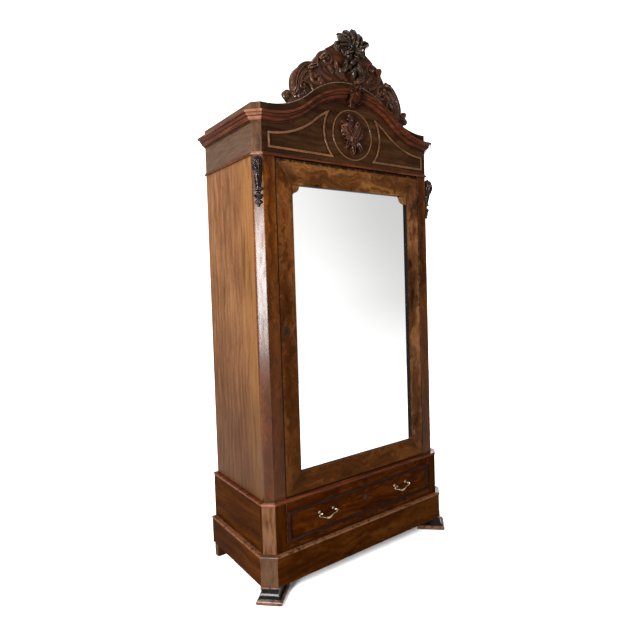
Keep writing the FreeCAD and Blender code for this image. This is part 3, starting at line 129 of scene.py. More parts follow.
class Graph:
    """Node tree of one material or of the world."""

    def __init__(self, owner: bpy.types.Material | bpy.types.World) -> None:
        """Start with an empty tree.

        Args:
            owner: what the tree belongs to.
        """
        self.owner = owner
        owner.use_nodes = True
        self.tree = owner.node_tree
        self.tree.nodes.clear()

    def node(self, kind: str, settings: dict | None = None, inputs: dict | None = None,
             output: int | str = 0) -> Value:
        """Add any node.

        Args:
            kind: node type without its ShaderNode prefix.
            settings: properties set before the inputs; "stops" fills a colour ramp.
            inputs: values or links by socket name or number.
            output: which output to return.

        Returns:
            The chosen output.
        """
        made = self.tree.nodes.new("ShaderNode" + kind)
        for name, setting in (settings or {}).items():
            if name == "stops":
                ramp = made.color_ramp
                while len(ramp.elements) < len(setting):
                    ramp.elements.new(1.0)
                for element, (place, colour) in zip(ramp.elements, setting):
                    element.position = place
                    element.color = (*colour, 1.0)
            else:
                setattr(made, name, setting)
        for name, given in (inputs or {}).items():
            if isinstance(given, Value):
                self.tree.links.new(given.socket, made.inputs[name])
            else:
                made.inputs[name].default_value = given
        return Value(self, made.outputs[output])

    def place(self) -> Value:
        """Object coordinates of the shaded point."""
        return self.node("TexCoord", output="Object")

    def axis(self, letter: str) -> Value:
        """One object coordinate of the shaded point."""
        return self.node("SeparateXYZ", {}, {0: self.place()}, letter)

    def beyond(self, centre: Pair, half: Pair) -> tuple[Value, Value]:
        """Distances across and up by which the shaded point lies outside an upright rectangle."""
        return ((self.axis("X") - centre[0]).size() - half[0],
                (self.axis("Z") - centre[1]).size() - half[1])

    def rim(self, centre: Pair, half: Pair) -> Value:
        """Distance outside the nearest side of an upright rectangle."""
        across, up = self.beyond(centre, half)
        return across.most(up)

    def noise(self, where: Value, scale: float, detail: float = 2.0, rough: float = 0.5,
              output: int | str = 0) -> Value:
        """Soft noise of a given scale at a place."""
        inputs = {"Vector": where, "Scale": scale, "Detail": detail, "Roughness": rough}
        return self.node("TexNoise", {}, inputs, output)

    def drawn(self, stretch: float, scale: float) -> Value:
        """Noise drawn out along the height by a share."""
        long = self.node("Mapping", {}, {"Vector": self.place(), "Scale": (1.0, 1.0, stretch)})
        return self.noise(long, scale, 4.0)

    def ramp(self, amount: Value, low: float, high: float) -> Value:
        """Amount brought from low..high to 0..1 with soft ends."""
        return self.node("MapRange", {"interpolation_type": "SMOOTHSTEP"},
                         {"Value": amount, "From Min": low, "From Max": high})

    def facing(self, first: Value, second: Union[Value, Colour]) -> Value:
        """Share by which two directions agree."""
        return self.node("VectorMath", {"operation": "DOT_PRODUCT"}, {0: first, 1: second}, "Value")

    def mix(self, share: Number, first: Union[Value, Colour],
            second: Union[Value, Colour]) -> Value:
        """Blend two colours by a share."""
        pair = [c if isinstance(c, Value) else (*c, 1.0) for c in (first, second)]
        return self.node("Mix", {"data_type": "RGBA"}, {0: share, 6: pair[0], 7: pair[1]}, 2)

    def surface(self, **inputs: Number) -> bpy.types.Material:
        """Close the tree with one Principled surface.

        Args:
            inputs: socket names with underscores for spaces.

        Returns:
            The finished material.
        """
        given = {name.replace("_", " "): value for name, value in inputs.items()}
        self.close("OutputMaterial", self.node("BsdfPrincipled", {}, given))
        return self.owner

    def close(self, kind: str, shader: Value) -> None:
        """Lead a shader to the output of the tree."""
        end = self.tree.nodes.new("ShaderNode" + kind)
        self.tree.links.new(shader.socket, end.inputs["Surface"])


class Grain(Enum):
    """Run of a board's fibres, as the shares by which its pattern is stretched."""

    ACROSS = (0.07, 1.0, 1.0)
    DEEP = (1.0, 0.07, 1.0)
    UPRIGHT = (1.0, 1.0, 0.07)


class Mark:
    """Something that colours a part of a board.

    Attributes:
        colour: colour of the mark.
        gloss: share of clear polish on it.
    """

    colour: Colour
    gloss: float = 0.0

    def mask(self, graph: Graph) -> Value:
        """Share of the mark at each point, from 0 to 1, in the tree of a board's material."""
        raise NotImplementedError


@dataclass(frozen=True)
class Stain(Mark):
    """Dark blotches on the mitres of a frame, alike at its four corners.

    Attributes:
        centre: middle of the frame, across and up, in metres.
        corner: half distance between the blotches, across and up.
        reach: distance at which a blotch fades out.
        depth: share of darkening at its heart.
        narrow: share by which a blotch is drawn in beside its mitre.
        ragged: share of the reach by which noise tears its edge.
        grain: scale of that noise.
    """

    centre: Pair
    corner: Pair
    colour: Colour = (0.010, 0.004, 0.002)
    reach: float = 0.085
    depth: float = 0.55
    narrow: float = 1.3
    ragged: float = 1.4
    grain: float = 16.0

    def mask(self, graph: Graph) -> Value:
        """Share of darkening at each point, broken up by noise."""
        away_x, away_z = graph.beyond(self.centre, self.corner)
        along = (away_x + away_z) * 0.5
        beside = (away_x - away_z) * self.narrow
        away = (along * along + beside * beside) ** 0.5
        torn = away + (graph.noise(graph.place(), self.grain, 3.0) - 0.5) * self.reach * self.ragged
        return (1.0 - graph.ramp(torn, 0.0, self.reach)) * self.depth


@dataclass(frozen=True)
class RebateShade(Mark):
    """Painted shade on the inner faces of an opening in a frame, where the rebate lies in shadow.

    Attributes:
        centre: middle of the opening, across and up, in metres.
        half: half its width and height.
        near, far: distances from a face over which the colour fades out.
    """

    centre: Pair
    half: Pair
    colour: Colour = (0.004, 0.003, 0.003)
    near: float = 0.0006
    far: float = 0.0016

    def mask(self, graph: Graph) -> Value:
        """Full share on the faces that bound the opening."""
        rim = graph.rim(self.centre, self.half)
        return graph.ramp(rim, -self.far, -self.near) * (1.0 - graph.ramp(rim, self.near, self.far))


@dataclass(frozen=True)
class ShadeBelow(Mark):
    """Painted shade that darkens the wood towards the floor.

    Attributes:
        low, high: heights of full and of no darkening, in metres.
        depth: share of it at the foot.
    """

    low: float
    high: float
    colour: Colour = (0.018, 0.008, 0.005)
    depth: float = 0.40

    def mask(self, graph: Graph) -> Value:
        """Share of darkening at each height."""
        return (1.0 - graph.ramp(graph.axis("Z"), self.low, self.high)) * self.depth


@dataclass(frozen=True)
class Sunned(Mark):
    """Wood bleached golden towards the front of a side.

    Attributes:
        front, back: depths of full and of no bleaching, in metres.
        depth: share of it at the front.
    """

    front: float
    back: float
    colour: Colour
    depth: float = 0.55

    def mask(self, graph: Graph) -> Value:
        """Share of bleaching at each depth, broken up along the fibres."""
        behind = graph.ramp(graph.axis("Y"), self.front, self.back)
        return (1.0 - behind) * graph.ramp(graph.drawn(0.12, 30.0), 0.25, 0.65) * self.depth


@dataclass(frozen=True)
class Cant(Mark):
    """Canted corners of a moulding that runs round the front and the sides.

    Attributes:
        across: distance from the middle at which the front ends, in metres.
        depth: depth at which the sides begin, in metres.
        low: height below which they fade out, in metres.
        blend: distance over which they end at the front and the sides.
        fade: half the height over which they fade out.
    """

    across: float
    depth: float
    colour: Colour
    gloss: float = 0.0
    low: float = 0.0
    blend: float = 0.004
    fade: float = 0.25

    def mask(self, graph: Graph) -> Value:
        """Full share on the corners."""
        beside = graph.ramp(graph.axis("X").size(), self.across, self.across + self.blend)
        behind = graph.ramp(graph.axis("Y"), self.depth - self.blend, self.depth)
        corner = beside * (1.0 - behind) * graph.ramp(graph.drawn(0.2, 70.0), 0.18, 0.62)
        if self.low:
            up = graph.axis("Z")
            corner = corner * graph.ramp(up, self.low - self.fade, self.low + self.fade)
        return corner


@dataclass(frozen=True)
class Planks(Mark):
    """Boards laid side by side: a dark joint between them, and a darker tone on some.

    Attributes:
        low, high: ends of the row across, in metres.
        count: number of boards.
        tone: share of that colour on the darkest board.
        clear, shut: shares of half a board's width at which a joint begins and is full.
    """

    low: float
    high: float
    count: int
    colour: Colour = (0.030, 0.018, 0.010)
    tone: float = 0.30
    clear: float = 0.482
    shut: float = 0.494

    def mask(self, graph: Graph) -> Value:
        """Full share in a joint, a small one on the darker boards."""
        row = (graph.axis("X") - self.low) * (self.count / (self.high - self.low))
        board = row.whole()
        joint = graph.ramp((row - board - 0.5).size(), self.clear, self.shut)
        tone = graph.node("TexWhiteNoise", {"noise_dimensions": "1D"}, {"W": board})
        return joint.most(tone * self.tone)


@dataclass(frozen=True)
class QuirkShade(Mark):
    """Painted shade in the quirks of a moulding, at set distances out from the middle of the
    cabinet.

    Attributes:
        lean: shares of the distance to the side and to the front that are summed.
        places: summed distances of the quirks, in metres.
        near, far: distances from a quirk over which the painted shade ends.
        depth: share of the painted shade in a quirk.
    """

    lean: Pair
    places: tuple[float, ...]
    colour: Colour = (0.004, 0.002, 0.001)
    near: float = 0.0007
    far: float = 0.0022
    depth: float = 0.85

    def mask(self, graph: Graph) -> Value:
        """Share of painted shade near each quirk."""
        out = graph.axis("X").size() * self.lean[0] - graph.axis("Y") * self.lean[1]
        quirk_shade = 0.0
        for place in self.places:
            quirk_shade = (1.0 - graph.ramp((out - place).size(), self.near, self.far)) + quirk_shade
        return quirk_shade * self.depth


@dataclass(frozen=True)
class GapShadow(Mark):
    """Painted shadow of the gap round a door, on the rim of the door.

    Attributes:
        centre: middle of the door, across and up, in metres.
        half: half its width and height.
        width: width of the darkened rim.
        depth: share of the colour.
    """

    centre: Pair
    half: Pair
    width: float = 0.0045
    colour: Colour = (0.003, 0.002, 0.002)
    depth: float = 0.9

    def mask(self, graph: Graph) -> Value:
        """Share of darkening near the rim."""
        rim = graph.rim(self.centre, self.half)
        return graph.ramp(rim, -self.width, -0.3 * self.width) * self.depth


@dataclass(frozen=True)
class Ring(Mark):
    """Band of another colour between two heights: the feet's own pad, a painted highlight on the
    plinth's edge and the feet's top fillet, and a painted shadow at the head of the door.

    Attributes:
        low, high: heights, in metres.
        depth: share of the colour.
        blend: half the height over which it begins and ends.
    """

    low: float
    high: float
    colour: Colour
    depth: float = 0.9
    blend: float = 0.0005

    def mask(self, graph: Graph) -> Value:
        """Share of the colour, broken up by noise."""
        up = graph.axis("Z")
        rubbed = graph.ramp(graph.noise(graph.place(), 60.0, 3.0), 0.25, 0.55)
        above = graph.ramp(up, self.low - self.blend, self.low + self.blend)
        below = 1.0 - graph.ramp(up, self.high - self.blend, self.high + self.blend)
        return above * below * rubbed * self.depth


@dataclass(frozen=True)
class BeadShade(Mark):
    """Painted shade on the sides of a bead, which turn away from the front, so that its crown reads
    lighter.

    Attributes:
        side, crown: shares of facing forwards of a dark side and of the bright crown.
    """

    colour: Colour = (0.014, 0.0045, 0.0018)
    side: float = 0.70
    crown: float = 0.94

    def mask(self, graph: Graph) -> Value:
        """Full share where the bead turns away from the front."""
        normal = graph.node("NewGeometry", output="Normal")
        forward = graph.facing(normal, (0.0, -1.0, 0.0))
        return 1.0 - graph.ramp(forward, self.side, self.crown)


@dataclass(frozen=True)
class Timber:
    """French-polished wood with fibres, pores, figure, rubbed edges that also carry painted
    highlights, and painted shade in its corners.

    Attributes:
        dark, mid, light: colours of the late, middle and early wood.
        figure: distance in metres by which the veneer's figure bends the fibres.
        figure_size: distance over which the figure repeats.
        streak: streaks in a metre across the fibres.
        cloud: share of broad colour change.
        rough: roughness of the polish.
        polish: refractive index of the polish; 1.5 is fresh varnish, less is duller.
        worn_and_highlight: colour of rubbed edges; on the carvings and the parapet it is a painted
            highlight.
        wear_and_highlight: share of that colour on edges.
        patchy: share of those edges that noise breaks up.
        within: distance to the middle of the cabinet inside which edges take that colour, in
            metres.
        edge: radius of softened edges, in metres.
        corner_shade: share of painted shade in corners, found by ambient occlusion.
        reach: distance over which corners darken, in metres.
        tooled: strength of the gouge marks of a carver.
    """

    dark: Colour
    mid: Colour
    light: Colour
    figure: float = 0.02
    figure_size: float = 0.2
    streak: float = 60.0
    cloud: float = 0.30
    rough: float = 0.34
    polish: float = 1.2
    worn_and_highlight: Colour = (0.34, 0.17, 0.09)
    wear_and_highlight: float = 0.45
    patchy: float = 1.0
    within: float = 1.0
    edge: float = 0.0022
    corner_shade: float = 0.55
    reach: float = 0.018
    tooled: float = 0.0

    def toned(self, *shares: float) -> "Timber":
        """Tone the wood.

        Args:
            shares: factors of its red, green and blue.

        Returns:
            The same wood in other colours.
        """
        tones = {name: tuple(c * s for c, s in zip(getattr(self, name), shares))
                 for name in ("dark", "mid", "light")}
        return replace(self, **tones)

    def material(self, name: str, grain: Grain, seed: int, *marks: Mark) -> bpy.types.Material:
        """Make the finish for one board.

        Args:
            name: name of the material.
            grain: direction of the fibres.
            seed: number that moves the pattern, so that neighbours differ.
            marks: stains, painted shade and highlights, and other painted parts, if any.

        Returns:
            The material.
        """
        graph = Graph(bpy.data.materials.new(name))
        shift = tuple(seed * step for step in SEED_STEPS)
        where = graph.node("Mapping", {}, {"Vector": graph.place(), "Location": shift})
        fibres = self._fibres(graph, where, grain)
        fibre = graph.noise(fibres, self.streak * FIBRES_IN_STREAK, 2.0, 0.6)
        pore = graph.ramp(graph.noise(fibres, self.streak * PORES_IN_STREAK, 1.0), 0.60, 0.74)
        soft = graph.node("Bevel", {"samples": 4}, {"Radius": self.edge})
        edge = self._edge_wear_and_highlight(graph, where, soft)
        # Rubbed edges: real rubbing, and on the carvings and the parapet a painted highlight.
        wood = graph.mix(edge, self._wood(graph, where, fibres, fibre, pore), self.worn_and_highlight)
        # Painted shade: darken the colour in corners and crevices that ambient occlusion finds.
        open_sky = graph.node("AmbientOcclusion", {"samples": 4}, {"Distance": self.reach}, "AO")
        wood = graph.mix((1.0 - open_sky) * self.corner_shade, wood, CORNER_SHADE)
        coat: Number = 0.0
        for mark in marks:
            share = mark.mask(graph)
            wood = graph.mix(share, wood, mark.colour)
            if mark.gloss:
                coat = share * mark.gloss + coat
        smear = graph.noise(where, SMEAR_SCALE, 3.0)
        rough = (self.rough + (fibre - 0.5) * FIBRE_ROUGH + (smear - 0.5) * SMEAR_ROUGH
                 + edge * EDGE_ROUGH)
        normal = self._relief(graph, where, fibre * FIBRE_RELIEF - pore * PORE_RELIEF, soft)
        return graph.surface(Base_Color=wood, Roughness=rough, Normal=normal, IOR=self.polish,
                             Coat_Weight=coat, Coat_Roughness=COAT_ROUGH)

    def _fibres(self, graph: Graph, where: Value, grain: Grain) -> Value:
        """Bend the pattern by the figure and stretch it along the fibres.

        Args:
            graph: tree of the material.
            where: place in the pattern.
            grain: direction of the fibres.

        Returns:
            The place in the stretched pattern.
        """
        bend = graph.noise(where, 1.0 / self.figure_size, 3.0, 0.55, "Color")
        bent = graph.node("VectorMath", {"operation": "MULTIPLY_ADD"},
                          {0: bend, 1: (self.figure,) * 3, 2: where})
        return graph.node("Mapping", {}, {"Vector": bent, "Scale": grain.value})

    def _wood(self, graph: Graph, where: Value, fibres: Value, fibre: Value, pore: Value) -> Value:
        """Colour clean wood with streaks, fibres, broad clouds and dark pores.

        Args:
            graph: tree of the material.
            where: place in the pattern.
            fibres: place in the stretched pattern.
            fibre, pore: shares of fine fibres and of pores.

        Returns:
            The colour.
        """
        streak = graph.noise(fibres, self.streak, 5.0, 0.62)
        cloud = graph.noise(where, CLOUD_SCALE, 2.0)
        tone = (streak * STREAK_SHARE + fibre * FIBRE_SHARE + cloud * self.cloud - TONE_SHIFT
                - self.cloud * 0.5)
        stops = ((LATE_WOOD, self.dark), (MIDDLE_WOOD, self.mid), (EARLY_WOOD, self.light))
        wood = graph.node("ValToRGB", {"stops": stops}, {0: tone})
        return graph.mix(pore * PORE_DEPTH, wood, tuple(c * PORE_TONE for c in self.dark))

    def _edge_wear_and_highlight(self, graph: Graph, where: Value, soft: Value) -> Value:
        """Find the rubbed edges, which also carry painted highlights.

        Args:
            graph: tree of the material.
            where: place in the pattern.
            soft: normal with softened edges.

        Returns:
            The share of rubbed edge and painted highlight.
        """
        flat = graph.node("NewGeometry", output="Normal")
        patches = graph.ramp(graph.noise(where, PATCH_SCALE, 3.0), 0.38, 0.62)
        rubbed = patches * self.patchy + (1.0 - self.patchy)
        edge = graph.ramp(1.0 - graph.facing(soft, flat), *EDGE_TURN) * rubbed * self.wear_and_highlight
        if self.within < 1.0:
            beside = graph.axis("X").size()
            edge = edge * (1.0 - graph.ramp(beside, self.within - EDGE_FADE, self.within))
        return edge

    def _relief(self, graph: Graph, where: Value, height: Value, soft: Value) -> Value:
        """Raise the fibres, and cut gouge marks where the wood is carved.

        Args:
            graph: tree of the material.
            where: place in the pattern.
            height: height of the fibres.
            soft: normal with softened edges.

        Returns:
            The normal.
        """
        normal = graph.node("Bump", {}, {"Strength": 0.16, "Distance": 0.0006, "Height": height,
                                         "Normal": soft})
        if self.tooled:
            cuts = graph.noise(where, GOUGE_SCALE, 2.0)
            normal = graph.node("Bump", {}, {"Strength": self.tooled, "Distance": 0.004,
                                             "Height": cuts, "Normal": normal})
        return normal


@dataclass(frozen=True)
class Silvering:
    """Old silvered plate glass, faintly clouded, with a few specks at its edges.

    Attributes:
        tint: colour of the reflection.
        speck: colour of the lost silver.
    """

    tint: Colour = (0.915, 0.916, 0.910)
    speck: Colour = (0.30, 0.29, 0.27)

    def material(self, name: str, low: Vector, high: Vector) -> bpy.types.Material:
        """Make the finish for a glass.

        Args:
            name: name of the material.
            low, high: corners of the glass.

        Returns:
            The material.
        """
        graph = Graph(bpy.data.materials.new(name))
        where = graph.place()
        middle, half = (low + high) / 2, (high - low) / 2
        rim = graph.ramp(graph.rim((middle.x, middle.z), (half.x, half.z)), -0.03, -0.012)
        lost = graph.ramp(graph.noise(where, 60.0, 3.0), 0.60, 0.75) * rim * 0.35
        colour = graph.mix(lost, self.tint, self.speck)
        cloud = graph.noise(where, 5.0, 3.0)
        return graph.surface(Base_Color=colour, Metallic=1.0, Roughness=cloud * 0.012 + lost * 0.3)


@dataclass(frozen=True)
class Metal:
    """Cast or forged metal with tarnish in its hollows.

    Attributes:
        bright: colour of rubbed metal.
        dull: colour of tarnish.
        rough: roughness of rubbed metal.
        tarnish: share of tarnish.
    """

    bright: Colour
    dull: Colour
    rough: float = 0.3
    tarnish: float = 0.6

    def material(self, name: str) -> bpy.types.Material:
        """Make the finish.

        Args:
            name: name of the material.

        Returns:
            The material.
        """
        graph = Graph(bpy.data.materials.new(name))
        where = graph.place()
        patch = graph.ramp(graph.noise(where, 190.0, 3.0), 0.46, 0.56)
        hollow = 1.0 - graph.node("AmbientOcclusion", {"samples": 4}, {"Distance": 0.006}, "AO")
        dull = patch * self.tarnish * 0.6 + hollow * self.tarnish
        colour = graph.mix(dull, self.bright, self.dull)
        pits = graph.noise(where, 900.0, 2.0)
        normal = graph.node("Bump", {}, {"Strength": 0.15, "Distance": 0.0003, "Height": pits})
        rough = self.rough + dull * 0.35
        return graph.surface(Base_Color=colour, Metallic=1.0, Roughness=rough, Normal=normal)


GOLDEN_WALNUT = Timber(
    (0.0440, 0.0178, 0.0070), (0.0770, 0.0335, 0.0142), (0.1170, 0.0560, 0.0250), figure=0.050,
    figure_size=0.26, streak=58.0, cloud=0.50, polish=1.05)
BROWN_WALNUT = Timber(
    (0.0143, 0.0036, 0.0004), (0.0451, 0.0118, 0.001), (0.0974, 0.0293, 0.0028), figure=0.10,
    figure_size=0.11, streak=20.0, cloud=0.45, rough=0.24, polish=1.12)
BURR_WALNUT = Timber(
    (0.0067, 0.0019, 0.0004), (0.0381, 0.012, 0.0029), (0.1067, 0.0405, 0.0105), figure=0.15,
    figure_size=0.13, streak=19.0, cloud=0.45, rough=0.27, polish=1.06)
DARK_WALNUT = Timber(
    (0.0071, 0.0023, 0.0007), (0.0174, 0.0069, 0.0024), (0.0332, 0.0138, 0.0055), figure=0.050,
    figure_size=0.10, streak=34.0, cloud=0.45, polish=1.07)
# Dark walnut whose rubbed edges paint a pale highlight along the parapet's top arris, near the
# middle of the front.
ARCH_WALNUT = replace(
    DARK_WALNUT, worn_and_highlight=(0.32, 0.22, 0.14), wear_and_highlight=1.0, patchy=0.35, within=0.40, edge=0.007)
SIDE_FRIEZE = Timber(
    (0.0253, 0.0126, 0.0064), (0.0386, 0.0207, 0.0119), (0.0541, 0.0313, 0.0195), figure=0.004,
    figure_size=0.07, streak=150.0, cloud=0.20, polish=1.12, worn_and_highlight=(0.12, 0.07, 0.04))
CORNER_FRIEZE = Timber(
    (0.014, 0.006, 0.003), (0.034, 0.016, 0.008), (0.062, 0.031, 0.016), figure=0.040,
    figure_size=0.08, polish=1.10, worn_and_highlight=(0.10, 0.05, 0.025))
# Bright copper wood for the canted corner pieces of the cornice and the nosing: their own tone
# lightened into a painted highlight where these corners catch the light.
COPPER_CORNER = Timber(
    (0.060, 0.020, 0.010), (0.110, 0.042, 0.023), (0.170, 0.070, 0.040), figure=0.012, streak=46.0,
    rough=0.30, polish=1.08, worn_and_highlight=(0.34, 0.17, 0.10), wear_and_highlight=0.8, corner_shade=1.0, reach=0.009)
FLAME_WALNUT = Timber(
    (0.0074, 0.0021, 0.0004), (0.0202, 0.0047, 0.0004), (0.0417, 0.0128, 0.0018), figure=0.11,
    figure_size=0.13, streak=24.0, cloud=0.35, rough=0.25, polish=1.03, worn_and_highlight=(0.22, 0.09, 0.04))
CROTCH_WALNUT = replace(
    FLAME_WALNUT.toned(1.0, 0.86, 0.72), figure=0.17, figure_size=0.22, streak=44.0)
BASE_WALNUT = Timber(
    (0.0085, 0.0021, 0.0002), (0.0202, 0.0052, 0.0005), (0.0349, 0.0102, 0.0012), figure=0.050,
    streak=22.0, rough=0.26, polish=1.02, worn_and_highlight=(0.24, 0.10, 0.05))
PALE_CORNER = Timber(
    (0.018, 0.0078, 0.0034), (0.0390, 0.0185, 0.0088), (0.0640, 0.0335, 0.0180), figure=0.060,
    figure_size=0.09, streak=26.0, cloud=0.35, rough=0.30, polish=1.14, worn_and_highlight=(0.28, 0.14, 0.08))
RED_MAHOGANY = Timber(
    (0.0147, 0.0034, 0.0008), (0.0386, 0.0085, 0.0023), (0.0754, 0.0204, 0.006), figure=0.012,
    figure_size=0.25, streak=90.0, rough=0.22, polish=1.12, worn_and_highlight=(0.20, 0.075, 0.034), wear_and_highlight=0.5,
    corner_shade=1.0, reach=0.01)
GOLD_BEAD = Timber(
    (0.0352, 0.0103, 0.0019), (0.0704, 0.0237, 0.0049), (0.1088, 0.0412, 0.0097), figure=0.012,
    streak=46.0, rough=0.26, polish=1.3, worn_and_highlight=(0.30, 0.15, 0.06), wear_and_highlight=0.5, edge=0.004)
PURPLE_BEAD = Timber(
    (0.005, 0.0018, 0.001), (0.011, 0.004, 0.0024), (0.020, 0.0075, 0.0045), rough=0.30,
    polish=1.05, worn_and_highlight=(0.06, 0.022, 0.012), wear_and_highlight=0.4)
# Carvings: their pale rubbed edges are painted highlights that stand for glints on the ridges.
BLACK_CARVING = Timber(
    (0.0016, 0.0005, 0.0005), (0.004, 0.0014, 0.0011), (0.0090, 0.0030, 0.0022), rough=0.06,
    worn_and_highlight=(0.26, 0.20, 0.165), wear_and_highlight=0.75, patchy=0.85, corner_shade=1.0, reach=0.012, tooled=0.75)
DARK_CARVING = Timber(
    (0.0030, 0.0012, 0.0006), (0.0080, 0.0030, 0.0013), (0.0160, 0.0066, 0.0028), streak=55.0,
    rough=0.13, polish=1.19, worn_and_highlight=(0.26, 0.19, 0.115), wear_and_highlight=0.8, patchy=0.4, corner_shade=1.0, tooled=0.4)
RED_CARVING = Timber(
    (0.0060, 0.0011, 0.0004), (0.0150, 0.0034, 0.0014), (0.0300, 0.0078, 0.0034), streak=50.0,
    rough=0.12, polish=1.16, worn_and_highlight=(0.24, 0.10, 0.050), wear_and_highlight=0.85, patchy=0.5, edge=0.004, corner_shade=1.0,
    reach=0.022, tooled=0.3)
BROWN_CARVING = Timber(
    (0.0092, 0.0028, 0.0008), (0.0245, 0.0071, 0.0023), (0.0470, 0.0152, 0.0048), streak=50.0,
    rough=0.13, worn_and_highlight=(0.28, 0.150, 0.075), wear_and_highlight=0.85, patchy=0.45, edge=0.003, corner_shade=1.0,
    reach=0.024, tooled=0.35)
CREST_BOARD = replace(BROWN_CARVING, tooled=0.0, wear_and_highlight=0.4, polish=1.16)
KEYSTONE_CARVING = replace(BROWN_CARVING.toned(0.62, 0.50, 0.50), wear_and_highlight=0.28, polish=1.08)
BLACK_FOOT = Timber(
    (0.0015, 0.0011, 0.0009), (0.004, 0.0027, 0.0023), (0.0079, 0.0054, 0.0042), figure=0.03,
    figure_size=0.10, streak=34.0, rough=0.15, polish=1.13, worn_and_highlight=(0.16, 0.07, 0.04), wear_and_highlight=0.12)
PLAIN_PINE = Timber(
    (0.1178, 0.0638, 0.027), (0.186, 0.1102, 0.0513), (0.248, 0.1566, 0.081), figure_size=0.4,
    streak=24.0, rough=0.62, worn_and_highlight=(0.42, 0.30, 0.18), wear_and_highlight=0.2)
MIRROR = Silvering()
OLD_BRASS = Metal((0.38, 0.315, 0.215), (0.030, 0.020, 0.012), 0.24, 1.35)
DARK_BRONZE = Metal((0.022, 0.017, 0.013), (0.008, 0.006, 0.005), 0.46, 0.7)
DARK_IRON = Metal((0.040, 0.034, 0.028), (0.016, 0.012, 0.010), 0.62, 0.9)


